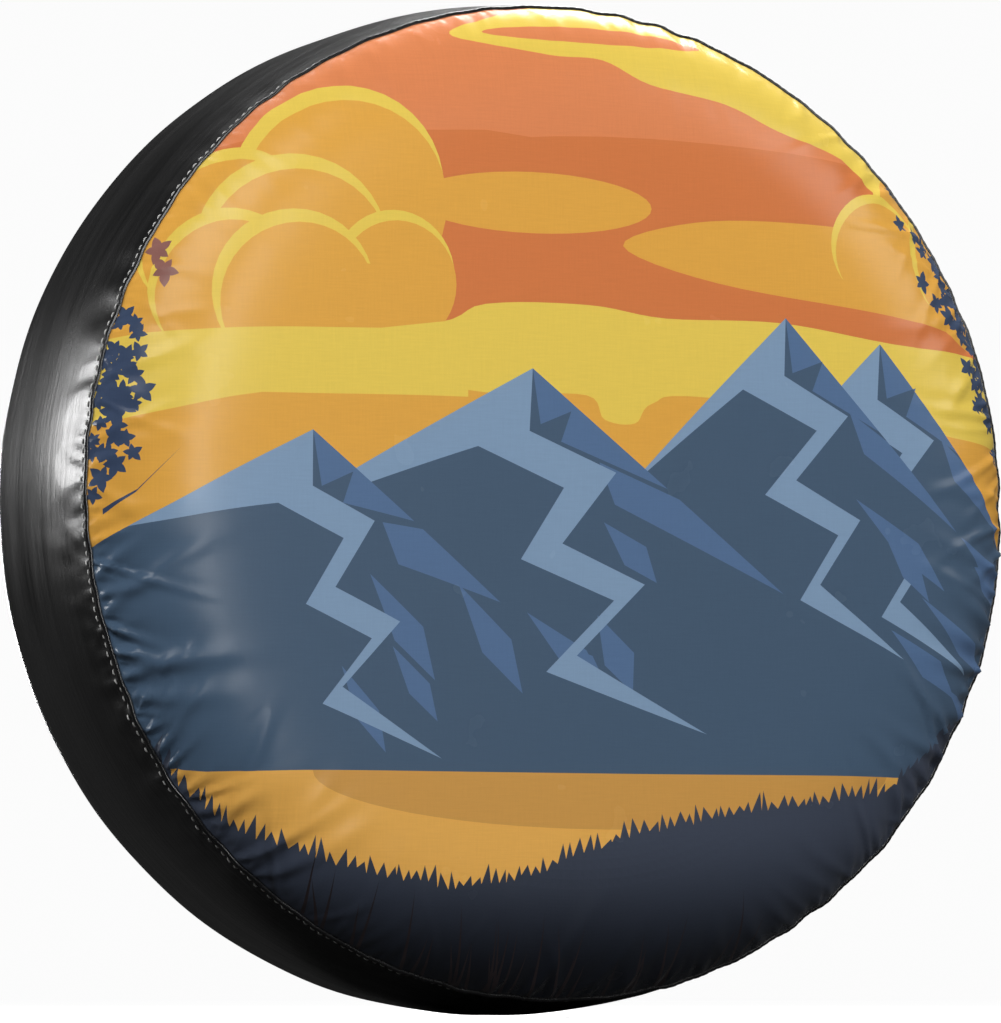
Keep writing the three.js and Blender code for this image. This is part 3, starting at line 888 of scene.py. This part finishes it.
def printed_triangles():
    """The flat face cut along every edge of the print: points, triangles and a colour for each."""
    layers = sky_layers() + mountain_layers() + land_layers() + foliage_layers()
    rim = disc(0, 0, FACE_EDGE, steps=SEAM_STEPS)
    points, edges = [], []
    for outline in [rim] + [split_edges(o, PRINT_STEP) for o, _ in layers]:
        first = len(points)
        points += outline
        edges += [(first + k, first + (k + 1) % len(outline)) for k in range(len(outline))]
    points += clear_of(points, face_lattice(), LATTICE_GAP)
    cut = delaunay_2d_cdt([Vector(p) for p in points], edges, [], 0, 1e-4)
    flat = np.array([tuple(v) for v in cut[0]])
    triangles = np.array([f for f in cut[2] if len(f) == 3])
    middles = flat[triangles].mean(1)
    kept = np.hypot(*middles.T) < FACE_EDGE
    triangles, middles = triangles[kept], middles[kept]
    colours = np.zeros((len(triangles), 3))
    for outline, colour in layers:
        colours[in_polygon(middles, outline)] = COLOURS[colour]
    return flat, triangles, faded(colours, middles)


def faded(colours, middles):
    """The forest darkens towards the bottom of the picture."""
    depth = smoothstep(-225, -345, middles[:, 1])[:, None]
    forest = np.all(np.isclose(colours, COLOURS["forest"]), axis=1)[:, None]
    return np.where(forest, colours * (1 - 0.86 * depth), colours)


def build_face():
    flat, triangles, colours = printed_triangles()
    used, triangles = np.unique(triangles, return_inverse=True)
    triangles = triangles.reshape(-1, 3)
    flat = flat[used]
    s = np.minimum(np.hypot(*flat.T), FACE_EDGE)
    angle = np.arctan2(flat[:, 1], flat[:, 0])
    outside, normal = face_surface(angle, s)
    inside = outside - normal * CLOTH
    count = len(flat)
    rim = np.flatnonzero(s > FACE_EDGE - 0.02)
    rim = rim[np.argsort(angle[rim])]
    after = np.roll(rim, -1)
    a, b, c = outside[triangles[0]]
    faces_front = np.cross(b - a, c - a)[1] < 0
    front = triangles if faces_front else triangles[:, ::-1]
    wall = np.stack([rim, rim + count, after + count, after], 1)
    faces = [tuple(f) for part in (front, front[:, ::-1] + count, wall) for f in part]
    face = new_mesh_object("printed_face", np.concatenate([outside, inside]), faces, [PRINT, LINING])
    mesh = face.data
    slots = np.zeros(len(faces), np.int32)
    slots[len(front):] = 1
    mesh.polygons.foreach_set("material_index", slots)
    corner = np.ones((len(mesh.loops), 4), np.float32)
    corner[: 3 * len(front), :3] = np.repeat(colours, 3, axis=0)
    attribute = mesh.color_attributes.new("print", "FLOAT_COLOR", "CORNER")
    attribute.data.foreach_set("color", corner.ravel())
    even = face.modifiers.new("even_shading", "WEIGHTED_NORMAL")
    even.mode = "FACE_AREA"
    belongs(face, "cover", "face_panel")


# ---- The side band, from the seam to the folded hem ----
def arc(x, y, radius, first, last, steps):
    angles = np.radians(np.linspace(first, last, steps + 1))
    return [(x + radius * math.cos(a), y + radius * math.sin(a)) for a in angles]


def band_path():
    """The outside of the band as (radius, y), from the seam round the tread and rear to the folded hem."""
    bend_r, bend_y = TREAD_R - REAR_BEND_R, REAR_Y - REAR_BEND_R
    hem_y = REAR_Y - HEM_FOLD_R
    start_r, start_y = SEAM_R - 0.9, SEAM_Y + 1.2
    share = np.array([
        0, 0.015, 0.03, 0.055, 0.085, 0.12, 0.16, 0.21, 0.27, 0.34, 0.42, 0.5, 0.6, 0.7, 0.8, 0.9,
    ])
    swell = start_r + (TREAD_R - start_r) * (1 - (1 - share) ** 2.2)
    path = list(zip(swell, start_y + share * BULGE_SPAN))
    path += [(TREAD_R, y) for y in np.linspace(start_y + BULGE_SPAN, bend_y, 6)]
    path += arc(bend_r, bend_y, REAR_BEND_R, 6, 90, 12)
    path += [(r, REAR_Y) for r in np.linspace(bend_r - 5, HEM_R, 15)]
    path += arc(HEM_R, hem_y, HEM_FOLD_R, 110, 270, 8)
    path += [(r, hem_y - HEM_FOLD_R) for r in np.linspace(HEM_R + 5, HEM_EDGE_R, 4)]
    return np.array(path)


def flat_places():
    """Where the rear is held flat, as (x, z, half width, half height): patches, eyelets, straps and lock."""
    places = []
    for node in ("strap_patch_left", "strap_patch_right", "eyelet_left", "eyelet_right"):
        low, high = box_mm(node)
        middle, half = (low + high) / 2, (high - low) / 2
        places.append((middle[0], middle[2], half[0], half[2]))
    for node, end in (("strap_left", 0), ("strap_right", 1)):
        low, high = box_mm(node)
        outer = (low, high)[end][0]
        inner = math.copysign(HEM_R - STRAP_REACH, outer)
        level, half_height = (low[2] + high[2]) / 2, (high[2] - low[2]) / 2
        places.append(((outer + inner) / 2, level, abs(outer - inner) / 2, half_height))
    low, high = box_mm("cord_lock_body")
    foot = low[2] - joint_reach("cord_lock_slide")
    places.append((0, (foot + high[2]) / 2, high[0] + 2, (high[2] - foot) / 2))
    return places


FLAT_PLACES = flat_places()


def freedom(x, z):
    """0 where the rear is held flat and 1 away from there."""
    free = 1 + 0 * x
    for middle_x, middle_z, half_x, half_z in FLAT_PLACES:
        past = np.hypot(
            np.maximum(np.abs(x - middle_x) - half_x, 0), np.maximum(np.abs(z - middle_z) - half_z, 0)
        )
        free = free * smoothstep(-1, 20, past)
    return free


def rear_gathers(angle, radius):
    """Height of the pleats that the elastic pulls into the rear wall, growing towards the hem."""
    tight = smoothstep(TREAD_R - 2, HEM_R + 6, radius)
    wander = 2.6 * ring_noise(angle, 9, 31) + 1.4 * ring_noise(angle, 23, 32)
    fine = np.abs(np.sin(52 * angle + wander + 1.2 * ring_noise(angle, 41, 33))) ** 0.8
    middle = np.abs(np.sin(29 * angle + 0.7 * wander)) ** 1.1
    broad = 0.5 + 0.5 * np.sin(27 * angle + 1.5 * wander)
    uneven = 0.75 + 0.35 * ring_noise(angle, 13, 34)
    inner = 6.4 * smoothstep(0.45, 1.0, tight) * fine
    outer = 4.2 * smoothstep(0.12, 0.6, tight) * (1 - 0.55 * smoothstep(0.6, 1, tight)) * middle
    soft = 2.0 * smoothstep(0.0, 0.35, tight) * broad
    free = freedom(radius * np.cos(angle), radius * np.sin(angle))
    return (inner + outer + soft) * uneven * np.maximum(free, 0.04)


def band_surface(angle):
    """The band's outside as a grid: one row for each point of its path."""
    path = band_path()
    along = np.gradient(path, axis=0)
    normal = unit(np.stack([along[:, 1], -along[:, 0]], -1))
    out, back = seam_shift(angle)
    rows = []
    for (radius, y), (nr, ny), away in zip(path, normal, lengths_along(path)):
        near = 1 - smoothstep(0, 55, away)
        height = BAND_FOLDS.at(angle, away + 0 * angle) + 0.8 * FINE_FOLDS.at(angle, away + 0 * angle)
        height = (height + stitch_pucker(angle, away)) * smoothstep(0, 6, away)
        height = height + 0.8 * ring_noise(angle, 17, 41) * smoothstep(10, 60, away)
        if y > REAR_Y - REAR_BEND_R:
            height = height + rear_gathers(angle, radius + 0 * angle)
        rows.append(turned_point(radius + out * near + height * nr, y + back * near + height * ny, angle))
    return np.array(rows)


def closed_shell(name, outside, thickness, materials):
    """A grid that closes round its columns, given a thickness inwards."""
    rows, columns, _ = outside.shape
    normal = grid_normals(outside)
    middle = outside.mean(1, keepdims=True)
    if ((outside - middle) * normal)[: rows // 3].sum() < 0:
        normal = -normal
    points = np.concatenate([outside, (outside - normal * thickness)[::-1]]).reshape(-1, 3)
    return outward(new_mesh_object(name, points, grid_faces(2 * rows, columns, wrap_rows=True), materials))


def outward(obj):
    """Turns a closed mesh's faces to point out."""
    mesh = obj.data
    mesh.calc_loop_triangles()
    points = np.array([v.co for v in mesh.vertices])
    corners = np.array([t.vertices for t in mesh.loop_triangles])
    a, b, c = points[corners].transpose(1, 0, 2)
    volume = (a * np.cross(b, c)).sum()
    if volume < 0:
        mesh.flip_normals()
    return obj


def corner_grid(obj, columns):
    """The row and the column of the grid point at each face corner."""
    corners = np.zeros(len(obj.data.loops), np.int32)
    obj.data.loops.foreach_get("vertex_index", corners)
    return corners // columns, corners % columns


def set_along(obj, u, v):
    uv = obj.data.uv_layers.new(name="along")
    uv.data.foreach_set("uv", np.stack([u, v], -1).astype(np.float32).ravel())


def build_band():
    angle = ring_angles(720)
    band = closed_shell("side_band_cloth", band_surface(angle), CLOTH, [BAND_VINYL])
    row, column = corner_grid(band, len(angle))
    column = column.reshape(-1, 4)
    wraps = np.ptp(column, axis=1) > len(angle) / 2
    column = np.where(wraps[:, None] & (column == 0), len(angle), column).ravel()
    length = lengths_along(band_path())
    set_along(band, column / len(angle) * TURN * TREAD_R, np.concatenate([length, length[::-1]])[row])
    belongs(band, "cover", "side_band")


# ---- Swept pieces ----
def sweep(name, path, section, material, closed=False, side=None):
    """A section of (across, up) points carried along a path in millimetres. `side` fixes the across
    direction; without it the section turns as little as it can."""
    path, section = np.asarray(path, float), np.asarray(section, float)
    along = ring_tangents(path) if closed else unit(np.gradient(path, axis=0))
    across = np.zeros_like(path)
    last = np.array((0, 1, 0) if side is None else side, float)
    for i, t in enumerate(along):
        if side is not None:
            last = np.array(side, float)
        last = unit(last - t * (last @ t))
        across[i] = last
    up = np.cross(across, along)
    points = path[:, None] + section[None, :, :1] * across[:, None] + section[None, :, 1:] * up[:, None]
    rows, columns = len(path), len(section)
    faces = grid_faces(rows, columns, wrap_rows=True) if closed else tube_faces(rows, columns)
    made = new_mesh_object(name, points.reshape(-1, 3), faces, [material])
    row, column = corner_grid(made, columns)
    set_along(made, lengths_along(path)[row], column / columns * 9)
    return outward(made)


def circle_section(radius, count):
    a = ring_angles(count)
    return np.stack([radius * np.cos(a), radius * np.sin(a)], -1)


def round_corners(half_width, half_height, corner, steps):
    """An upright rectangle with round corners."""
    made = []
    for x, y, first in [(1, 1, 0), (-1, 1, 90), (-1, -1, 180), (1, -1, 270)]:
        made += arc(x * (half_width - corner), y * (half_height - corner), corner, first, first + 90, steps)
    return made


def build_piping():
    angle = ring_angles(SEAM_STEPS)
    out, back = seam_shift(angle)
    pinch = 0.16 * np.cos(STITCH_COUNT * angle)
    path = turned_point(SEAM_R + out + pinch, SEAM_Y + back, angle)
    piping = sweep("seam_piping", path, circle_section(PIPING_DRAWN_R, 12), PIPING_VINYL, closed=True)
    belongs(piping, "cover", "face_piping")


def build_seam_allowance():
    """The sewn edges of the face, piping and band, which turn inwards behind the seam."""
    angle = ring_angles(720)
    out, back = seam_shift(angle)
    limp = 0.5 * ring_noise(angle, 40, 51)
    section = [(-2.1, 0.4, 0), (-2.5, 3, 0.2), (-2.8, 6, 0.6), (-3.0, 9.5, 1)]
    rows = [turned_point(SEAM_R + r + out + limp * free, SEAM_Y + y + back, angle) for r, y, free in section]
    belongs(closed_shell("seam_allowance", np.array(rows), 1.5, [VINYL]), "cover")


# ---- Stitching ----
def stitches(name, centres, along, length, radius, up=(0, 1, 0)):
    """One bent capsule of thread at each centre."""
    rings, sides = 7, 6
    t = np.linspace(-1, 1, rings)
    width = np.sqrt(np.clip(1 - t**4, 0.02, 1))
    local = np.array([
        [length / 2 * ti, radius * w * math.cos(b), radius * w * math.sin(b) - 0.9 * radius * ti * ti]
        for ti, w in zip(t, width)
        for b in ring_angles(sides)
    ])
    up = np.broadcast_to(up, along.shape)
    axes = np.stack([along, unit(np.cross(along, up)), up], 1)
    points = np.einsum("vk,nkj->nvj", local, axes) + centres[:, None]
    one = tube_faces(rings, sides)
    faces = [tuple(i + k * rings * sides for i in f) for k in range(len(centres)) for f in one]
    made = outward(new_mesh_object(name, points.reshape(-1, 3), faces, [THREAD]))
    belongs(made, "cover")


def build_seam_stitches():
    """Stitches in the band, just behind the piping."""
    angle = (np.arange(STITCH_COUNT) + 0.5) * TURN / STITCH_COUNT
    surface = band_surface(angle)
    row = 3
    normal = grid_normals(surface)[row]
    normal *= np.sign((normal * turned_point(1, 0, angle)).sum(1))[:, None]
    centres = surface[row] + normal * 0.5
    stitches("seam_stitches", centres, ring_tangents(centres), 4.4, 0.55, normal)


def build_hem_stitches():
    surface = band_surface(ring_angles(300))
    path = band_path()
    on_wall = np.flatnonzero(path[:, 1] >= REAR_Y - 1)
    row = on_wall[np.argmin(np.abs(path[on_wall, 0] - HEM_STITCH_R))]
    centres = surface[row] + np.array([0, 0.25, 0])
    stitches("hem_stitches", centres, ring_tangents(centres), 3.6, 0.4)


# ---- Cord, elastic and straps ----
def smooth_path(points, step):
    """A curve through the points, resampled about `step` millimetres apart."""
    p = np.asarray(points, float)
    p = np.concatenate([[2 * p[0] - p[1]], p, [2 * p[-1] - p[-2]]])
    made = []
    for a, b, c, d in zip(p, p[1:], p[2:], p[3:]):
        parts = max(2, math.ceil(np.linalg.norm(c - b) / step))
        made += [curve_point(a, b, c, d, t) for t in np.arange(parts) / parts]
    return np.array(made + [p[-2]])


def build_cord():
    """The cord: round inside the hem, out through both eyelets, through the lock and into its two ends."""
    low, high = box_mm("drawcord")
    ring_r, ring_y, cord_y = high[0] - CORD_R, low[1] + CORD_R, high[1] - CORD_R
    lock_low, lock_high = box_mm("cord_lock_body")
    end_low, end_high = box_mm("cord_end_right")
    end_x = (end_low[0] + end_high[0]) / 2
    eye_x, _, eye_z = sum(box_mm("eyelet_right")) / 2
    eye_angle = math.atan2(eye_x, -eye_z)
    in_lock = 2.4  # from the middle of the lock to each cord
    slide = joint_reach("cord_lock_slide")

    def on_ring(angle, y=ring_y):
        """A place in the hem, its angle measured from the lowest point."""
        return (ring_r * math.sin(angle), y, -ring_r * math.cos(angle))

    steps_in = [(9, 0), (3, 0), (0.9, 0.9), (0, 3)]
    led_in = [on_ring(eye_angle + off / ring_r, ring_y + back) for off, back in steps_in]
    led_out = [
        (eye_x, cord_y - 9, eye_z),
        (eye_x - 0.6, cord_y - 5.5, eye_z - 1.5),
        (eye_x - 3, cord_y - 2.5, eye_z - 5),
        (eye_x - 8, cord_y - 0.6, eye_z - 10),
        (in_lock + 11, cord_y, lock_high[2] + 14),
        (in_lock + 3.5, cord_y, lock_high[2] + 6),
        (in_lock + 0.5, cord_y, lock_high[2] + 2),
        (in_lock, cord_y, lock_high[2] - 1),
        (in_lock, cord_y, lock_low[2] - slide - 1),
        (in_lock + 1.2, cord_y, lock_low[2] - slide - 5),
        (end_x - 0.7, cord_y, end_high[2] + 6),
        (end_x, cord_y, end_high[2] + 1),
        (end_x, cord_y, low[2]),
    ]
    right = led_in + led_out
    first = eye_angle + 9 / ring_r
    ring = [on_ring(angle) for angle in np.linspace(first, TURN - first, 150)[1:-1]]
    left = [(-x, y, z) for x, y, z in right]
    path = smooth_path(right[::-1] + ring + left, 1.6)
    cord = sweep("braided_drawcord", path, circle_section(CORD_R, 10), CORD)
    belongs(cord, "cover", "drawcord")


def build_elastic():
    low, high = box_mm("hem_elastic")
    width, thickness = 10.0, 1.1
    radius = high[0] / FACET_SHARE - width / 2
    angle = ring_angles(900)
    ripple = 0.35 * np.sin(150 * angle)
    path = turned_point(radius, (low[1] + high[1]) / 2 + ripple, angle)
    section = round_corners(thickness / 2, width / 2, 0.4, 2)
    elastic = sweep("knitted_elastic", path, section, ELASTIC, closed=True, side=(0, 1, 0))
    belongs(elastic, "cover", "hem_elastic")


def build_lock_spring():
    """A coil of wire wound evenly along the CAD spring's box; the real one flattens towards its fixed end as
    the lock's button goes in.
    """
    low, high = box_mm("cord_lock_spring")
    wire, turns = 0.4, 3.5
    middle, height = (low + high) / 2, high[1] - low[1]
    coil_r = (high[0] - low[0]) / 2 - wire
    share = np.linspace(0, 1, 120)
    angle = share * turns * TURN
    path = turned_point(coil_r, low[1] + wire + share * (height - 2 * wire), angle)
    path = path + np.array([middle[0], 0, middle[2]])
    spring = sweep("lock_spring_coil", path, circle_section(wire, 10), STEEL)
    belongs(spring, "cord_lock", "cord_lock_spring")
    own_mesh(spring)


STRAP_PITCH = 1.85  # between the strap's two layers
STRAP_WIDTH, STRAP_THICKNESS = 25, 1.5


def build_straps():
    """Webbing round the buckle's bars, along the same lines as the CAD straps."""
    left_low, left_high = box_mm("strap_left")
    right_end = box_mm("strap_right")[1][0]
    base_y = left_low[1] + STRAP_THICKNESS / 2
    middle_z = (left_low[2] + left_high[2]) / 2
    bar, centre_bar = (-38, 3.95), (30, 4.45)
    x, y = bar
    left = [(left_low[0], 0), (-240, 0), (-150, 0), (x - 14, 0), (x - 6, 0.4)] + arc(x, y, 3.1, -90, 90, 6)
    left += [(x - 3.5, 6), (x - 10, 2.7)] + [(x - off, STRAP_PITCH) for off in (16, 30, 44)]
    x, y = centre_bar
    right = [(right_end, 0), (240, 0), (150, 0), (x + 12, 0), (x + 4, 0.4)]
    right += arc(x, y, 2.95, -90, -330, 8)
    right += [(x + 5.5, 3.2), (x + 8.5, 2)] + [(x + off, STRAP_PITCH) for off in (14, 50, 90)]
    for name, line in (("strap_left", left), ("strap_right", right)):
        path = smooth_path([(px, base_y + py, middle_z) for px, py in line], 2.0)
        section = round_corners(STRAP_WIDTH / 2, STRAP_THICKNESS / 2, 0.6, 2)
        webbing = sweep("webbing_" + name, path, section, WEBBING, side=(0, 0, 1))
        belongs(webbing, "cover", name)


def build_patches():
    stitch_inset = 0.86
    for side in ("left", "right"):
        low, high = box_mm("strap_patch_" + side)
        middle, half = (low + high) / 2, (high - low) / 2
        outline = np.array(round_corners(half[0], half[2], 5, 6))
        top = half[1]
        rows = [(1, -top), (1, top - 0.5), (0.985, top - 0.1), (0.96, top), (0.5, top + 0.1)]
        points = [middle + np.array([x * k, y, z * k]) for k, y in rows for x, z in outline]
        faces = tube_faces(len(rows), len(outline))
        patch = outward(new_mesh_object("vinyl_patch_" + side, points, faces, [VINYL]))
        belongs(patch, "cover", "strap_patch_" + side)
        edge = split_edges([tuple(p * stitch_inset) for p in outline], 3.2)
        centres = middle + np.array([(x, half[1] + 0.12, z) for x, z in edge])
        stitches("patch_stitches_" + side, centres[::2], ring_tangents(centres)[::2], 3.0, 0.35)


def cross_stitch(name, x0, x1, y, z0, z1):
    """A sewn box with a cross in it, on a flat strap."""
    corners = [(x0, z0), (x1, z0), (x1, z1), (x0, z1)]
    lines = list(zip(corners, corners[1:] + corners[:1])) + [corners[0::2], corners[1::2]]
    centres, along = [], []
    for (ax, az), (bx, bz) in lines:
        length = math.hypot(bx - ax, bz - az)
        for k in np.arange(1.6, length - 1.2, 3.2):
            centres.append((ax + (bx - ax) * k / length, y, az + (bz - az) * k / length))
            along.append(((bx - ax) / length, 0, (bz - az) / length))
    stitches(name, np.array(centres), np.array(along), 2.6, 0.32)


def build_strap_stitches():
    low, high = box_mm("strap_left")
    far = box_mm("strap_right")[1][0]
    top = low[1] + STRAP_THICKNESS + 0.1
    for name, x0, x1, y in [
        ("left", low[0] + 4, low[0] + 30, top),
        ("right", far - 30, far - 4, top),
        ("fold", -80, -60, top + STRAP_PITCH),
    ]:
        cross_stitch("strap_stitches_" + name, x0, x1, y, low[2] + 4, high[2] - 4)


# ---- CAD pieces that keep their shape ----
def finish_hardware():
    looks = {
        PLASTIC: ("cord_lock_body", "cord_lock_button", "cord_end", "strap_keeper", "buckle"),
        NICKEL: ("eyelet",),
    }
    for material, starts in looks.items():
        for obj in [obj for node, obj in frame["nodes"].items() if node.startswith(starts)]:
            obj.data.materials.clear()
            obj.data.materials.append(material)
            obj.modifiers.new("weld", "WELD").merge_threshold = 1e-5
            if material is PLASTIC:
                bevel = obj.modifiers.new("round_edges", "BEVEL")
                bevel.width = 0.45 * MM
                bevel.segments = 3
                bevel.angle_limit = math.radians(34)
            obj.modifiers.new("even_shading", "WEIGHTED_NORMAL").keep_sharp = False
            obj.data.polygons.foreach_set("use_smooth", [True] * len(obj.data.polygons))


# ---- Stage ----
def split_for_camera(n, unseen, seen, output):
    """Shows one shader to the camera and gives the other to everything the light meets."""
    mix = n.add("MixShader")
    n.put(n.add("LightPath").outputs["Is Camera Ray"], mix.inputs[0])
    n.put(unseen.outputs[0], mix.inputs[1])
    n.put(seen.outputs[0], mix.inputs[2])
    n.put(mix.outputs[0], output.inputs["Surface"])


def floor_look():
    """Pale, and as bright as the background to the camera; it throws little light back up."""
    n = new_material("pale_floor")
    colour = n.mix(n.noise(0.02, 4), (0.88, 0.88, 0.88), (0.91, 0.91, 0.91))
    away = n.add("VectorMath", operation="LENGTH", Vector=n.place()).outputs["Value"]
    glow = n.add("MapRange", Value=away, From_Min=700.0, From_Max=4000.0, To_Min=0.6, To_Max=1.07)
    n.finish(Base_Color=colour, Roughness=0.9, Emission_Color=colour, Emission_Strength=glow.outputs[0])
    dim = n.add("BsdfDiffuse", Color=(0.03, 0.03, 0.03, 1))
    split_for_camera(n, dim, n.shader, n.tree.nodes["Material Output"])
    return n.owner


def build_stage():
    reach, floor_z = 40000, cad_low.z / MM - 3
    corners = [(x * reach, y * reach, floor_z) for x, y in [(-1, -1), (1, -1), (1, 1), (-1, 1)]]
    new_mesh_object("floor", corners, [(0, 1, 2, 3)], [floor_look()], smooth=False)


def build_world():
    """Near white to the camera, and almost dark as a light."""
    n = Nodes(bpy.data.worlds.new("studio"))
    bpy.context.scene.world = n.owner
    n.tree.nodes.clear()
    seen = n.add("Background", Color=(0.97, 0.97, 0.97, 1))
    lighting = n.add("Background", Strength=0.025)
    split_for_camera(n, lighting, seen, n.add("OutputWorld"))


def link_facing(name, data, location, direction):
    """A light or camera at a place in metres, turned to look along a direction."""
    made = bpy.data.objects.new(name, data)
    bpy.context.scene.collection.objects.link(made)
    made.location = location
    made.rotation_mode = "QUATERNION"
    made.rotation_quaternion = direction.to_track_quat("-Z", "Y")
    return made


def toward(azimuth, elevation, distance):
    """A place in metres, `azimuth` degrees round from the front towards the cover's right."""
    a, e = math.radians(azimuth), math.radians(elevation)
    return Vector((math.sin(a) * math.cos(e), -math.cos(a) * math.cos(e), math.sin(e))) * distance


def build_lights():
    face, middle = (0, 0, 0), (0, 0.1, 0)
    for name, place, target, size, power in [
        ("ridge_strip", (3, -2, 3.8), face, (0.4, 3.2), 80),
        ("front_right", (52, 24, 3.6), face, (1.6, 1.4), 40),
        ("front_top", (-30, 34, 3.6), face, (2.2, 1.4), 84),
        ("left_softbox", (-125, 11, 2.6), (-0.3, 0.1, 0.02), (1.3, 0.6), 40),
        ("top_softbox", (-150, 62, 2.8), middle, (1.4, 0.8), 24),
        ("rear_softbox", (142, 56, 3.6), middle, (2.0, 1.2), 150),
        ("rear_fill", (176, 1, 4.2), middle, (0.7, 0.7), 34),
    ]:
        data = bpy.data.lights.new(name, "AREA")
        data.shape = "RECTANGLE"
        data.size, data.size_y = size
        data.energy = power
        link_facing(name, data, toward(*place), Vector(target) - toward(*place))


def build_camera():
    """The photograph's angle: from the cover's left and a little below, through a long lens."""
    azimuth, distance = -23, 5.02
    back = toward(azimuth, -4, 1)
    right = toward(azimuth + 90, 0, 1)
    seam_middle = Vector((0, SEAM_Y * MM, 0))
    target = seam_middle - right * 0.039 - back.cross(right) * 0.0072
    data = bpy.data.cameras.new("camera")
    data.sensor_width, data.lens = 36, 245
    data.clip_end = 100
    bpy.context.scene.camera = link_facing("camera", data, target + back * distance, -back)
    bpy.context.scene.view_settings.view_transform = "Standard"


build_face()
build_band()
build_piping()
build_seam_allowance()
build_seam_stitches()
build_hem_stitches()
build_cord()
build_elastic()
build_lock_spring()
build_straps()
build_patches()
build_strap_stitches()
finish_hardware()
build_stage()
build_world()
build_lights()
build_camera()
